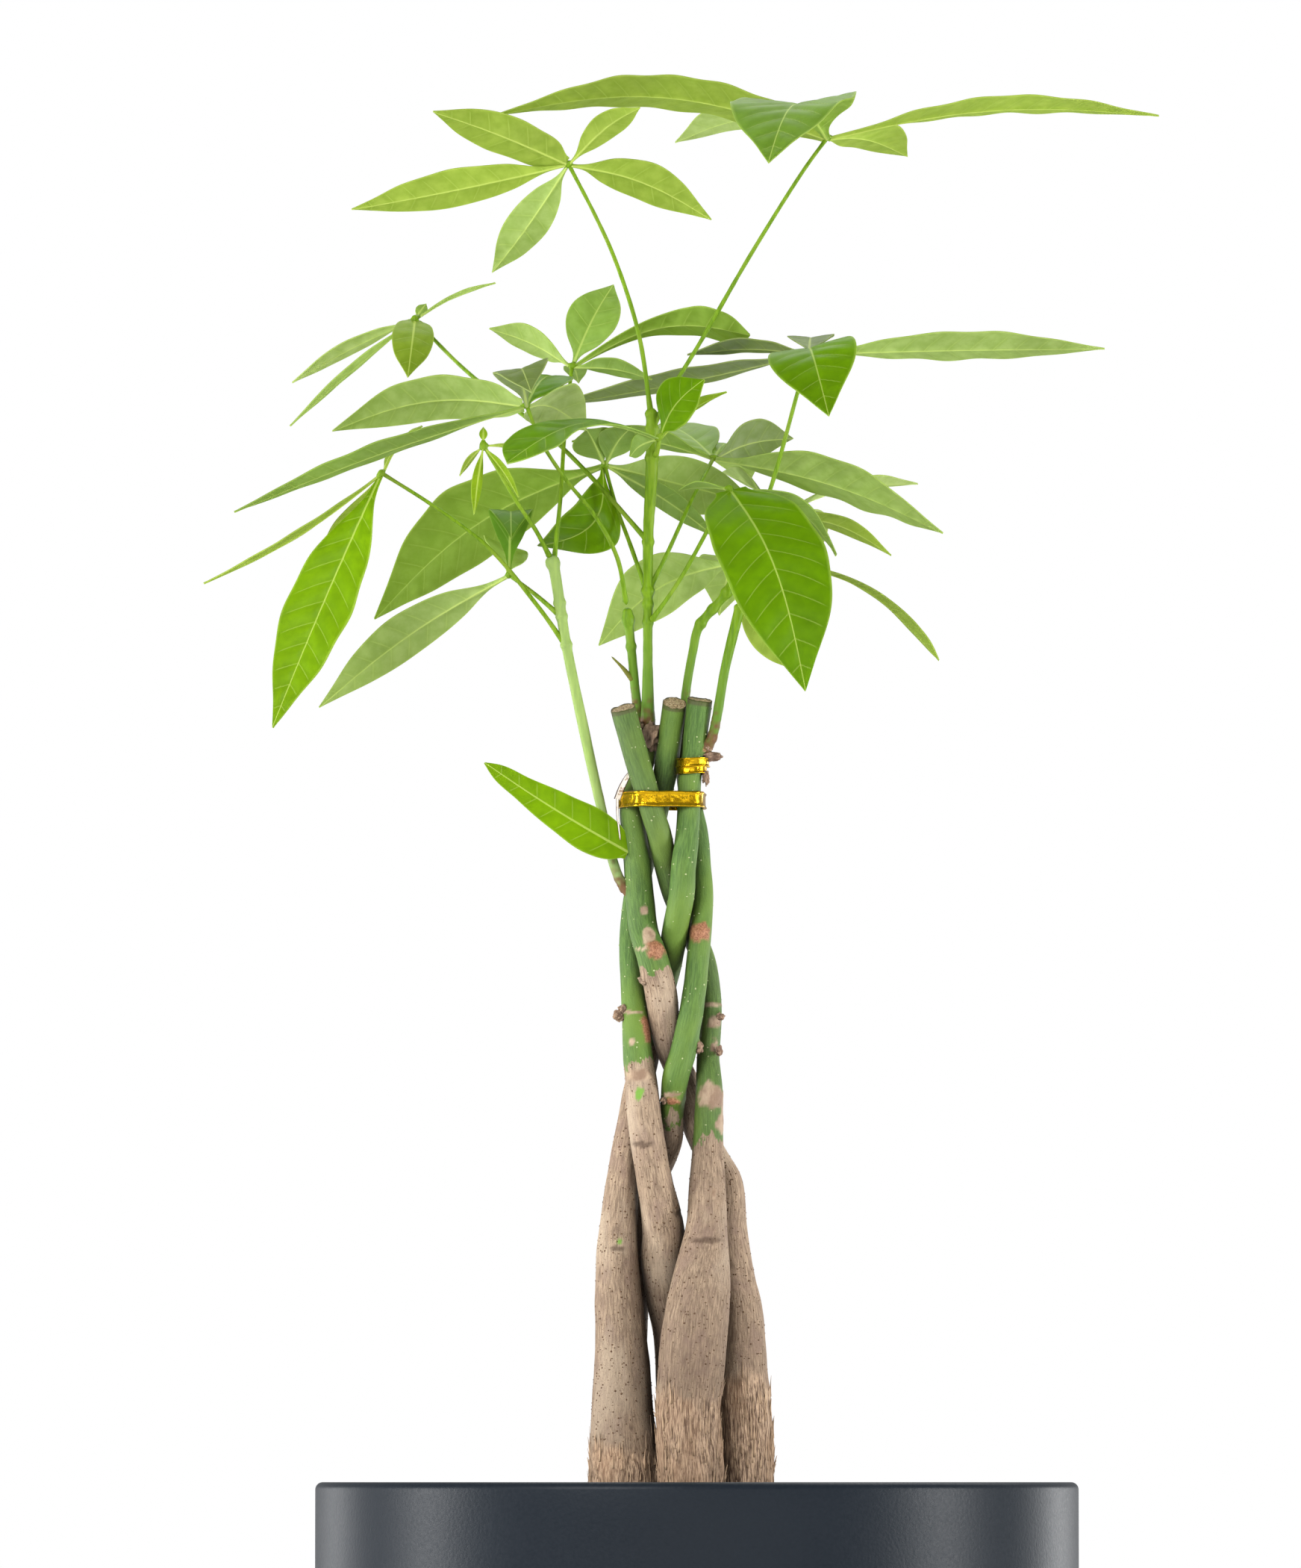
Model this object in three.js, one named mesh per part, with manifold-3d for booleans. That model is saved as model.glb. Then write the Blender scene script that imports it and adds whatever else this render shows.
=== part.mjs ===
// A potted money tree: five braided stems in a round planter, with light green shoots and
// palmate leaves. Millimetres, +Z up, the front towards -Y, origin under the middle of the pot.
import * as THREE from "three";
import { mergeVertices } from "three/addons/utils/BufferGeometryUtils.js";
import Module from "manifold-3d";

const wasm = await Module();
wasm.setup();

// Driving dimensions.
const GAP = 0.3; // between pieces that touch
const POT = { radius: 127.5, height: 225, wall: 5, floor: 7, edge: 2.5, foot: 3, sides: 48, bends: 2 };
const SOIL = { top: 217, mound: 3, sides: 32 };
const STEM = { sides: 12, steps: 30, seat: 172 };
const SHOOT = { sides: 8, steps: 11 };
const PETIOLE = { sides: 6, steps: 7, foot: 1.2, neck: 0.85 };
const HUB_RADIUS = 1.9;
const BLADE_THICK = 0.8;
const TIE = { thick: 0.6, around: 12, slack: 0.55 };
const MAIN_TIE = { low: 450.5, high: 455.8 };
const STUB_TIE = { low: 462.4, high: 465.4 };

const COLOURS = {
  pot: "#373c48", soil: "#3a2a1f", bark: "#9c8b74", gold: "#d9a514",
  shoot: "#8fbf5a", leaf: "#6fa545", bright: "#6fa31c",
};

// Each stem from its top to the rim: x, y, z and radius. Each runs on down into the soil.
const STEMS = {
  stem_1: [
    [-24.8, -5, 484, 4.2], [-20.7, -6.5, 469, 4.2], [-18.4, -8, 461, 4.1], [-15.2, -8, 450, 4],
    [-12.4, -6, 441, 4], [-10.2, -1, 431, 4], [-7.2, 1.5, 421, 4], [-2, 5, 410, 4],
    [2.3, 5, 400, 3.9], [4.1, 4, 390, 3.8], [4.6, 2, 380, 3.8], [3.8, 0, 366, 3.8],
    [4.1, -4, 356, 4.5], [3.8, -5, 340, 5], [3.6, -5, 325, 6.1], [3.3, -7, 310, 6.7],
    [1.6, -9, 294, 9.4], [0.1, -11, 282, 10.7], [-1.2, -12, 271, 11.3], [-2.2, -12.5, 259, 11],
    [-2.9, -12.5, 248, 10.6], [-2.2, -12.5, 225, 11],
  ],
  stem_2: [
    [-16.4, 5, 479, 3.7], [-17, 4, 470, 3.8], [-19.5, 1.5, 461, 3.8], [-21.9, -2, 450, 3.9],
    [-20.9, -2, 441, 4.2], [-19.9, -2, 431, 4.6], [-19.1, -2.5, 421, 4.8], [-17.9, -4, 410, 4.8],
    [-14.9, -8, 400, 5.1], [-12.2, -6.5, 390, 5.3], [-10.9, -3.5, 380, 5.2], [-9.3, 0, 370, 4.4],
    [-5, 6, 361, 4.7], [-2, 6.5, 354, 4.7], [-0.5, 7, 346, 4.9], [4.5, 7, 335, 5.2],
    [9.7, 6.5, 325, 5.6], [10.4, 6, 310, 6.4], [11.9, 6, 294, 7.5], [13.6, 6, 282, 8.6],
    [13.9, 6, 271, 9.2], [14.2, 5, 259, 9.7], [14.6, 4.5, 248, 10.3], [14.9, 4, 225, 10.9],
  ],
  stem_3: [
    [-7.4, -1, 486, 4], [-8.6, -0.5, 477, 4], [-9.6, 0, 469, 4], [-10.9, 2, 461, 4],
    [-13.5, 4, 450, 4], [-16, 6, 441, 4], [-18.5, 7, 431, 4], [-20.5, 7.5, 421, 4],
    [-21.8, 6, 410, 4], [-21.9, 3, 400, 4], [-21.4, 0, 390, 4.1], [-20.7, -3, 380, 4.4],
    [-19.9, -5.5, 369, 4.9], [-18.3, -6, 356, 5.5], [-17.4, -7, 346, 5.7], [-15.8, -7.5, 335, 5.8],
    [-13.9, -6, 325, 5.9], [-11.3, -1.5, 310, 7.1], [-11, 3, 300, 7.8], [-9, 8, 288, 8.3],
    [-6, 11, 276, 8.8], [-4.5, 12.5, 260, 9.1], [-4, 14, 246, 9.4], [-4, 15, 225, 9.5],
  ],
  stem_4: [
    [1.1, -3, 487, 4.2], [-0.2, -3, 477, 4.1], [-0.9, -3, 469, 4], [-2.2, -4, 461, 3.9],
    [-2.7, -5, 450, 3.8], [-3.2, -6, 441, 3.9], [-4.4, -8, 431, 4.2], [-5.1, -9, 421, 4.3],
    [-7.2, -5, 410, 4.3], [-8.9, 1.8, 400, 4.3], [-11.5, 5, 390, 4.3], [-14, 6.5, 380, 4.4],
    [-17, 6, 367, 4.5], [-19.7, 5.3, 356, 4.8], [-21.5, 4.3, 346, 5], [-23.5, 2.3, 335, 5.2],
    [-24.9, 1, 325, 5.4], [-26.2, 0, 310, 6.2], [-26.6, 0, 300, 7], [-26, 0, 286, 7.9],
    [-25.2, 0, 271, 8.7], [-24.9, 0, 259, 9.6], [-24.9, 0, 246, 10.7], [-23.6, 0, 225, 12.8],
  ],
  stem_5: [
    [-4, 7, 479, 3.7], [-4, 7, 469, 3.7], [-3, 7, 461, 3.7], [-1.5, 6, 450, 3.7],
    [0.4, 5, 441, 3.7], [1.2, 3, 431, 3.7], [1.9, 0, 421, 3.7], [1.4, -3.2, 410, 3.7],
    [0.4, -5, 400, 3.8], [-0.7, -6.3, 390, 3.9], [-2.2, -7.3, 380, 4.1], [-4.8, -8, 368, 4.4],
    [-6.9, -7.5, 361, 4.5], [-8, -3, 353, 4.1], [-8.6, 1, 346, 4], [-8.7, 3.6, 340, 3.9],
    [-11, 6.5, 333, 4.1], [-15, 9, 325, 4.3], [-19, 12, 310, 5.4], [-21, 14.2, 300, 6.3],
    [-23, 17, 288, 7.3], [-24.5, 18.6, 276, 8], [-25.2, 20.3, 260, 8.7], [-26, 24.5, 225, 9.5],
  ],
};

// Small knots and twig stubs on the stems: place, radius.
const KNOTS = {
  stem_1: [[4.5, -2, 380, 4.6], [3.2, -10.3, 305, 4.6]],
  stem_2: [[-16.4, -7, 402, 5.4]],
  stem_3: [[-24.6, -3, 382, 1.8]],
  stem_4: [[4.6, -3.2, 468.6, 2.6]],
  stem_5: [[1.3, -3.8, 408, 3.9], [-8.4, -3.6, 351.5, 4.6]],
};

// Green shoots from their foot in a stem to their top: x, y, z and radius.
const SHOOTS = {
  shoot_1: {
    from: ["stem_2", "stem_1"],
    route: [
      [-16.4, 5, 474, 3], [-16.4, 0.5, 486, 2.3], [-16.4, -0.5, 501, 1.7], [-16.4, -1, 521, 1.8],
      [-16.2, -3, 544, 1.9], [-15.2, -5, 561, 2.3], [-15, -6, 577, 2.2], [-15.4, -6.5, 585, 1.6],
    ],
  },
  shoot_2: {
    from: ["stem_2"],
    route: [
      [-19.5, -2.4, 419, 2.2], [-26, -2.2, 427, 1.8], [-32.7, -3.2, 453.5, 1.8], [-37.9, -5.5, 477, 1.9],
      [-43.9, -7, 506, 1.8], [-47.7, -8, 530, 2], [-48.9, -8, 535, 2.2],
    ],
  },
  shoot_3: {
    from: ["stem_2", "shoot_1", "stem_1"],
    route: [
      [-17.6, 5.5, 476, 2.2], [-20, 3, 486, 1.7], [-21.9, 1, 504, 1.6], [-23.4, -1, 518, 1.8],
    ],
  },
  shoot_4: {
    from: ["stem_5", "stem_4", "stem_3"],
    route: [
      [-4, 7, 476, 2], [-3.9, 5.5, 487, 1.6], [-1.2, 5, 504, 1.6], [0.8, 4.5, 512, 1.7],
      [10.4, 4, 524, 1.5], [14, 4, 533, 1.4],
    ],
  },
  shoot_5: {
    from: ["stem_4"],
    route: [
      [2, -3.2, 468.6, 1.9], [5.2, -5, 474.5, 1.8], [9.6, -6, 497.5, 1.7], [13.6, -6.5, 514, 1.9],
      [15, -6.5, 519, 1.9],
    ],
  },
};

// A dried stipule that stands off a shoot like a thorn: x, y, z and radius.
const STIPULES = {
  shoot_3: [[-21.3, 1.5, 493.5, 1.1], [-24.6, 0.5, 497.6, 0.7], [-28.6, -0.5, 501.6, 0.2]],
};

// Palmate leaves. Each has its hub, the way its upper side faces, a petiole from its foot up to
// the hub, and leaflets: reach from the hub to the tip, width, arch, and a side and an outline of
// its own if any.
const UNDER = [0, 0.75, 0.66]; // upper side turned away, so the front sees the pale underside
const FLAT = [0, 0.25, 0.97];
const FRONT = [0.1, -0.85, 0.5];
// Half width of a blade along its length, as a share of its widest place. A broad blade is wide
// near its foot, and a far one near its tip.
const OUTLINE = [[0, 0.07], [0.08, 0.13], [0.26, 0.68], [0.52, 1], [0.75, 0.74], [0.91, 0.27]];
const BROAD = [[0, 0.3], [0.1, 0.7], [0.3, 0.96], [0.52, 1], [0.75, 0.74], [0.91, 0.27]];
const FAR = [[0, 0.08], [0.1, 0.14], [0.36, 0.36], [0.66, 0.78], [0.84, 1], [0.95, 0.6]];
const BASAL_OUTLINE = [[0, 0.35], [0.08, 0.74], [0.22, 1], [0.46, 0.86], [0.72, 0.56], [0.92, 0.3]];

const LEAVES = {
  leaf_01: {
    on: ["shoot_1"], hub: [-43, -16, 666], faces: [0, 0.72, 0.7],
    petiole: [[-15.4, -6.5, 583], [-18.7, -7, 606], [-22, -8, 619], [-28.2, -10, 636.5], [-34, -12, 649]],
    leaflets: [
      [[-73, 10, -14], 15.5, -1], [[-45, -22, 15], 16, 1.5, [0, 0.72, 0.7], BROAD],
      [[24, -24, 16], 10.5, 4], [[48, 14, -17], 16, 6], [[-26, 30, -33], 14.5, -2],
    ],
  },
  leaf_02: {
    on: ["shoot_1"], hub: [44, -8, 676], faces: [0, 0.45, 0.9],
    petiole: [[-14.8, -6, 578], [-9, -6, 590], [0.9, -6, 606.5], [18.4, -6, 637], [36, -7.5, 665]],
    leaflets: [
      [[-111, -14, 6], 26, 11, [0, 0.3, 0.95], BROAD], [[-20.5, -66, -16.5], 42, 15, [0.03, 0.1, 1]],
      [[112, 12, 9], 22, 6, [0, 0.15, 0.99]], [[-51, 44, 4], 24, 8, [0, 0.3, 0.95]],
      [[28, 50, 0], 22, 3],
    ],
  },
  leaf_03: {
    on: ["shoot_1"], hub: [-95.5, 35, 619.5], faces: [0, 0.4, 0.9],
    petiole: [
      [-16.2, -3, 540], [-30, -1.5, 556], [-40, 0.5, 567], [-50, 6, 577], [-77, 22, 599.5],
      [-89.5, 31, 612.5],
    ],
    leaflets: [
      [[-42, 8, -21], 8.5, 1.5], [[-42, -14, -38], 6, 1], [[27, 16, 14], 4, 1.5],
      [[-2, -20, -22], 14, 3, FRONT, BROAD], [[3.6, 6, 5.6], 4, 0, [0, -1, 0.3]],
    ],
  },
  leaf_04: {
    on: ["shoot_3"], hub: [-57, -24, 584], faces: UNDER,
    petiole: [[-23.6, -1.5, 519], [-26.7, -5, 534.5], [-34, -10, 548], [-44, -16, 560], [-52, -21, 572]],
    leaflets: [
      [[-65, 6, -8], 18, 10, UNDER, BROAD], [[-97, -14, -37], 15, 2, [0, 0.3, 0.95]],
      [[20, 23, -6], 22, 5], [[2, -44, 0], 19, 10, [-0.25, 0.25, 0.93]],
      [[9, 32, 13], 22, 3, [0, -0.36, 0.93]],
    ],
  },
  leaf_05: {
    on: ["shoot_2"], hub: [-42, 14, 601], faces: [0, 0.6, 0.8],
    petiole: [[-48, -6, 532], [-45.8, -9, 553], [-44.4, 2.5, 577]],
    leaflets: [
      [[-28, 10, 14], 14, 2], [[14, 12, 29], 18, 3, [0, -0.8, 0.6]],
      [[60, -12, 9.5], 20, 10, [0, 0.5, 0.86], FAR], [[27, -16, -6], 10, 2], [[2, 34, -2], 8, 2],
    ],
  },
  leaf_06: {
    on: ["shoot_4"], hub: [37.9, 6, 604.9], faces: FLAT,
    petiole: [[14, 4, 532], [24, 4, 556], [34, 5, 591]],
    leaflets: [
      [[100, 8, 2.2], 21, 0.5, [0, 0.35, 0.93]], [[5.8, -50, -26.3], 30, 10.5, [-0.22, 0.05, 0.97]],
      [[-41, 2, -0.5], 14, 2], [[2, 42, 6], 16, 4], [[16, 34, 2], 9, 1],
      [[-86.4, 14, -16.4], 17, -1, [0, 0.25, 0.97]],
    ],
  },
  leaf_07: {
    on: ["shoot_1"], hub: [5.9, 24, 571], faces: UNDER,
    petiole: [[-16, -1.5, 524], [-11, 0, 534], [-2, 5, 554]],
    leaflets: [
      [[77, -22, -27.5], 31, 4.5, [0, 0.4, 0.92]], [[-48, -6, 5], 16, 4, [0, 0.35, 0.94]],
      [[27, 14, 8], 18, 3], [[-18, 36, 15], 22, 2, [0, -0.3, 0.95]], [[12, 56, -4], 24, 9, FLAT],
    ],
  },
  leaf_08: {
    on: ["shoot_5"], hub: [27, 20, 551], faces: [0.1, 0.5, 0.86],
    petiole: [[15, -6, 518], [18, 1, 528], [24, 14, 543]],
    leaflets: [
      [[39, 6, -13], 9, 5], [[49, 50, 15.5], 14, 4], [[20, -16, -15], 14, 4], [[14, 44, -12], 20, 7],
      [[-18, 24, 17], 17, 3],
    ],
  },
  leaf_09: {
    on: ["shoot_2"], hub: [-105.5, -16, 562], faces: [-0.3, 0.3, 0.9],
    petiole: [[-44, -6.8, 505], [-53.4, -9, 518], [-70, -12, 537.5], [-88, -14, 551]],
    leaflets: [
      [[-36, -8, -86], 28, 1, [-0.5, -0.8, 0.35]], [[13, 22, 18], 9, 2],
      [[-60, 12, -36], 10, -3, [-0.4, 0.1, 0.9]], [[-22, 28, -48], 15, 4],
    ],
  },
  leaf_10: {
    on: ["shoot_1"], hub: [-31, 13, 567.5], faces: [-0.2, 0.7, 0.7],
    petiole: [[-16.6, -1, 523], [-22.4, 5, 540], [-27, 9, 553]],
    leaflets: [
      [[-78, 14, -51], 34, 12], [[-22.5, 0, -27.5], 26, 14, [0.547, -0.707, -0.448]],
      [[38, 8, -24], 9, 3], [[52, 26, -11], 19, 0, [0, 1, 0.2]], [[-6, -11, 11], 15, 2],
      [[9, -10, 12], 14, 2],
    ],
  },
  leaf_11: {
    on: ["shoot_2"], hub: [-71.4, -21, 571], faces: [0, 0.5, 0.86],
    petiole: [[-49, -8.5, 534], [-54, -15, 543], [-60.2, -19, 552]],
    leaflets: [
      [[-8, 4, -10], 2.5, 1], [[-3, -7, -24], 3.8, 1], [[12, -5, -18], 4, 1], [[19, 5, -2], 2.5, 1],
      [[0, 0, 6], 2.8, 0],
    ],
  },
  leaf_12: {
    on: ["shoot_1"], hub: [-12.5, -11.5, 574.5], faces: [0.1, 0.1, 1],
    petiole: [[-14, -6.5, 568], [-13, -10, 571]],
    leaflets: [
      [[15, -9, 18.4], 22, 3, [-0.5, -0.7, 0.4]], [[22.5, -3, 15], 11, 2], [[-10, -6, -7], 9, 2, UNDER],
      [[-50.5, -34, -12], 24, 9, [0, -0.3, 0.95], FAR],
    ],
  },
  leaf_13: {
    on: ["shoot_4"], hub: [14, 14, 535], faces: UNDER,
    petiole: [[13, 4.5, 530], [13.6, 9, 532]],
    leaflets: [
      [[-47, 6, -28], 24, 12], [[21, -6, -38], 26, 4], [[68, 6, -33], 13, 11, [0, 0.1, 1], FAR],
      [[-6, 50, -14], 22, 8],
    ],
  },
  leaf_14: {
    on: ["shoot_1"], hub: [11, -10, 557.5], faces: [0, 0.2, 0.97],
    petiole: [[-15.6, -2, 513], [-6.4, -4, 526], [4.4, -7, 545]],
    leaflets: [
      [[25, -26, -70], 36, 15, [0.15, -0.9, 0.4], BROAD], [[-17, 6, 0], 8, 1], [[36, 4, -22], 13, 7],
    ],
  },
  leaf_15: {
    on: ["shoot_2"], hub: [-63, -2, 529], faces: UNDER,
    petiole: [[-45.5, -7.5, 514.5], [-54, -5, 522]],
    leaflets: [
      [[-64, 8, -44], 17, 5.5], [[0.9, -16, 11], 15, 18.5, [0, 0.51, 0.86]], [[-6, 34, 13], 16, 4],
    ],
  },
};
const BASAL = {
  from: [-23, -5.4, 435.5], reach: [-48, -9, 29.4], width: 15.5, arch: -3, faces: [0.1, -0.97, 0.2],
};

const BLADE_TROUGH = 0.16; // how far the margins rise above the midrib, per unit of half width

function vec(list) {
  return new THREE.Vector3(list[0], list[1], list[2]);
}

// A round stem through the given places, with its radius read along the way.
function stemShape(route, sides, steps, grown = 0) {
  const curve = new THREE.CatmullRomCurve3(route.map(vec), false, "centripetal");
  const rings = [];
  let across = new THREE.Vector3(1, 0.1, 0);
  for (let i = 0; i <= steps; i++) {
    const t = i / steps;
    const along = curve.getTangent(t);
    across = across.clone().addScaledVector(along, -across.dot(along)).normalize();
    const at = t * (route.length - 1);
    const k = Math.min(Math.floor(at), route.length - 2);
    const radius = THREE.MathUtils.lerp(route[k][3], route[k + 1][3], at - k) + grown;
    rings.push({ centre: curve.getPoint(t), across, over: across.clone().cross(along), radius });
  }
  const shape = new THREE.CylinderGeometry(1, 1, 1, sides, steps);
  const place = shape.attributes.position;
  for (let i = 0; i < place.count; i++) {
    const ring = rings[Math.round((place.getY(i) + 0.5) * steps)];
    const spot = ring.centre.clone()
      .addScaledVector(ring.across, place.getX(i) * ring.radius)
      .addScaledVector(ring.over, place.getZ(i) * ring.radius);
    place.setXYZ(i, spot.x, spot.y, spot.z);
  }
  return shape;
}

// A thin arched blade from its foot to its tip, closed round its margin.
function bladeShape(foot, reach, width, arch, faces, outline = OUTLINE) {
  const along = vec(reach).normalize();
  const side = vec(faces).cross(along).normalize();
  const up = along.clone().cross(side);
  const spot = (s, u, share, lift) => {
    const out = (u * share * width) / 2;
    const rise = arch * Math.sin(Math.PI * s) + BLADE_TROUGH * Math.abs(out) + lift;
    return vec(foot).addScaledVector(vec(reach), s).addScaledVector(side, out).addScaledVector(up, rise);
  };
  const places = [];
  for (const lift of [BLADE_THICK / 2, -BLADE_THICK / 2]) {
    for (const [s, share] of outline) {
      for (const u of [1, 0, -1]) places.push(spot(s, u, share, lift));
    }
    places.push(spot(1, 0, 0, lift));
  }
  const tip = outline.length * 3;
  const upper = [];
  for (let a = 0; a < tip - 3; a += 3) {
    upper.push([a, a + 1, a + 3], [a + 1, a + 4, a + 3], [a + 1, a + 2, a + 5], [a + 1, a + 5, a + 4]);
  }
  upper.push([tip - 3, tip - 2, tip], [tip - 2, tip - 1, tip]);
  const rim = [0, 1, 2];
  for (let a = 5; a < tip; a += 3) rim.push(a);
  rim.push(tip);
  for (let a = tip - 3; a > 0; a -= 3) rim.push(a);
  const under = tip + 1;
  const index = upper.flat().concat(upper.flatMap(([a, b, c]) => [a + under, c + under, b + under]));
  rim.forEach((a, i) => {
    const b = rim[(i + 1) % rim.length];
    index.push(a, a + under, b + under, a, b + under, b);
  });
  const shape = new THREE.BufferGeometry().setFromPoints(places);
  shape.setIndex(index);
  return shape;
}

// A leaflet's foot lies just inside the hub.
function leafletShape(hub, reach, width, arch, faces, outline) {
  const foot = vec(reach).setLength(HUB_RADIUS * 0.55);
  const rest = vec(reach).sub(foot);
  return bladeShape(vec(hub).add(foot).toArray(), rest.toArray(), width, arch, faces, outline);
}

// Joining and cutting.
function solid(shape) {
  const bare = shape.clone();
  bare.deleteAttribute("normal");
  bare.deleteAttribute("uv");
  const merged = mergeVertices(bare, 1e-4);
  return new wasm.Manifold(new wasm.Mesh({
    numProp: 3,
    vertProperties: new Float32Array(merged.attributes.position.array),
    triVerts: new Uint32Array(merged.index.array),
  }));
}

function joined(shapes) {
  return shapes.map(solid).reduce((all, one) => all.add(one));
}

function cutBy(body, tools) {
  return tools.reduce((left, tool) => left.subtract(tool), body);
}

function geometryOf(body) {
  const mesh = body.getMesh();
  const shape = new THREE.BufferGeometry();
  shape.setAttribute("position", new THREE.BufferAttribute(mesh.vertProperties, 3));
  shape.setIndex(new THREE.BufferAttribute(mesh.triVerts, 1));
  return shape;
}

const plant = new THREE.Group();
function addPiece(name, shape, colour, roughness = 0.6, metalness = 0) {
  const finish = new THREE.MeshStandardMaterial({ color: colour, roughness, metalness });
  const piece = new THREE.Mesh(shape, finish);
  piece.name = name;
  plant.add(piece);
}

// The planter: a straight wall with a rounded top edge and a small rounded foot.
function potShape() {
  const { radius, height, wall, floor, edge, foot, sides, bends } = POT;
  const profile = new THREE.Path();
  profile.moveTo(0, 0);
  profile.lineTo(radius - foot, 0);
  profile.absarc(radius - foot, foot, foot, -Math.PI / 2, 0);
  profile.absarc(radius - edge, height - edge, edge, 0, Math.PI / 2);
  profile.absarc(radius - wall + edge, height - edge, edge, Math.PI / 2, Math.PI);
  profile.lineTo(radius - wall, floor);
  profile.lineTo(0, floor);
  const points = profile.getPoints(bends).filter((p, i, all) => i === 0 || p.distanceTo(all[i - 1]) > 0.01);
  return new THREE.LatheGeometry(points, sides).rotateX(Math.PI / 2);
}

function withSeat(route) {
  const [x, y, , radius] = route[route.length - 1];
  return [...route, [x, y, 200, radius * 0.95], [x, y, STEM.seat, radius * 0.8]];
}

function stemSolid(name, grown = 0) {
  const route = withSeat(STEMS[name]);
  const shapes = [stemShape(route, STEM.sides, STEM.steps, grown)];
  for (const [x, y, z, radius] of KNOTS[name]) {
    shapes.push(new THREE.IcosahedronGeometry(radius + grown, 1).translate(x, y, z));
  }
  return joined(shapes);
}

// The soil fills the pot below its rim, and every stem stands in a plain hole of its own.
function soilSolid() {
  const inner = POT.radius - POT.wall - GAP;
  const profile = [
    [0, POT.floor + GAP], [inner, POT.floor + GAP], [inner, SOIL.top - SOIL.mound],
    [inner * 0.6, SOIL.top - 0.4], [0, SOIL.top],
  ].map(([r, z]) => new THREE.Vector2(r, z));
  const bed = solid(new THREE.LatheGeometry(profile, SOIL.sides).rotateX(Math.PI / 2));
  return cutBy(bed, Object.keys(STEMS).map((name) => stemSolid(name, GAP)));
}

// The outline that a strap takes when it is pulled tight round some circles.
function strapOutline(circles, clear) {
  const dots = circles.flatMap(([x, y, , radius]) => Array.from({ length: TIE.around }, (_, i) => {
    const turn = (i * 2 * Math.PI) / TIE.around;
    const away = radius + clear;
    return new THREE.Vector2(x + away * Math.cos(turn), y + away * Math.sin(turn));
  }));
  dots.sort((a, b) => a.x - b.x || a.y - b.y);
  const half = (list) => list.reduce((hull, dot) => {
    while (hull.length > 1) {
      const [a, b] = hull.slice(-2);
      if ((b.x - a.x) * (dot.y - a.y) - (b.y - a.y) * (dot.x - a.x) > 0) break;
      hull.pop();
    }
    hull.push(dot);
    return hull;
  }, []);
  const lower = half(dots);
  const upper = half([...dots].reverse());
  return [...lower.slice(0, -1), ...upper.slice(0, -1)];
}

// Where a stem's middle is at a height, read along its table.
function placeAt(name, height) {
  const route = STEMS[name];
  const k = route.findIndex((place) => place[2] <= height);
  const [above, below] = [route[k - 1], route[k]];
  const t = (above[2] - height) / (above[2] - below[2]);
  return above.map((value, i) => THREE.MathUtils.lerp(value, below[i], t));
}

function tieShape(names, { low, high }) {
  const circles = names.flatMap((name) => [low, (low + high) / 2, high].map((z) => placeAt(name, z)));
  const band = new THREE.Shape(strapOutline(circles, TIE.slack + TIE.thick));
  band.holes.push(new THREE.Path(strapOutline(circles, TIE.slack)));
  const shape = new THREE.ExtrudeGeometry(band, { depth: high - low, bevelEnabled: false });
  return shape.translate(0, 0, low);
}

addPiece("pot", potShape(), COLOURS.pot, 0.5);
addPiece("soil", geometryOf(soilSolid()), COLOURS.soil, 0.95);
for (const name of Object.keys(STEMS)) addPiece(name, geometryOf(stemSolid(name)), COLOURS.bark, 0.75);

addPiece("main_tie", tieShape(Object.keys(STEMS), MAIN_TIE), COLOURS.gold, 0.25, 1);
addPiece("stub_tie", tieShape(["stem_4"], STUB_TIE), COLOURS.gold, 0.25, 1);

// The shoots, trimmed where they leave what they grow from.
for (const [name, { from, route }] of Object.entries(SHOOTS)) {
  const others = from.map((other) => (STEMS[other]
    ? stemSolid(other, GAP)
    : solid(stemShape(SHOOTS[other].route, SHOOT.sides, SHOOT.steps, GAP))));
  const shapes = [stemShape(route, SHOOT.sides, SHOOT.steps)];
  if (STIPULES[name]) shapes.push(stemShape(STIPULES[name], PETIOLE.sides, PETIOLE.steps));
  addPiece(name, geometryOf(cutBy(joined(shapes), others)), COLOURS.shoot);
}

// The leaves: petiole, hub and leaflets are one grown piece, trimmed at the shoot.
function leafSolid({ on, hub, faces, petiole, leaflets }) {
  const stalk = [...petiole, hub];
  const route = stalk.map((place, i) => {
    const t = i / (stalk.length - 1);
    return [...place, THREE.MathUtils.lerp(PETIOLE.foot, PETIOLE.neck, t)];
  });
  const shapes = [
    stemShape(route, PETIOLE.sides, PETIOLE.steps),
    new THREE.IcosahedronGeometry(HUB_RADIUS, 0).translate(...hub),
    ...leaflets.map(([reach, width, arch, side, outline]) => (
      leafletShape(hub, reach, width, arch, side ?? faces, outline))),
  ];
  const shoots = on.map((name) => solid(stemShape(SHOOTS[name].route, SHOOT.sides, SHOOT.steps, GAP)));
  return cutBy(joined(shapes), shoots);
}

for (const [name, leaf] of Object.entries(LEAVES)) {
  addPiece(name, geometryOf(leafSolid(leaf)), COLOURS.leaf, 0.5);
}
const { from, reach, width, arch, faces } = BASAL;
const basal = solid(bladeShape(from, reach, width, arch, faces, BASAL_OUTLINE));
addPiece("basal_leaf", geometryOf(cutBy(basal, [
  solid(stemShape(SHOOTS.shoot_2.route, SHOOT.sides, SHOOT.steps, GAP)), stemSolid("stem_2", GAP),
])), COLOURS.bright);

export default plant;
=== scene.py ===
import math

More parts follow.
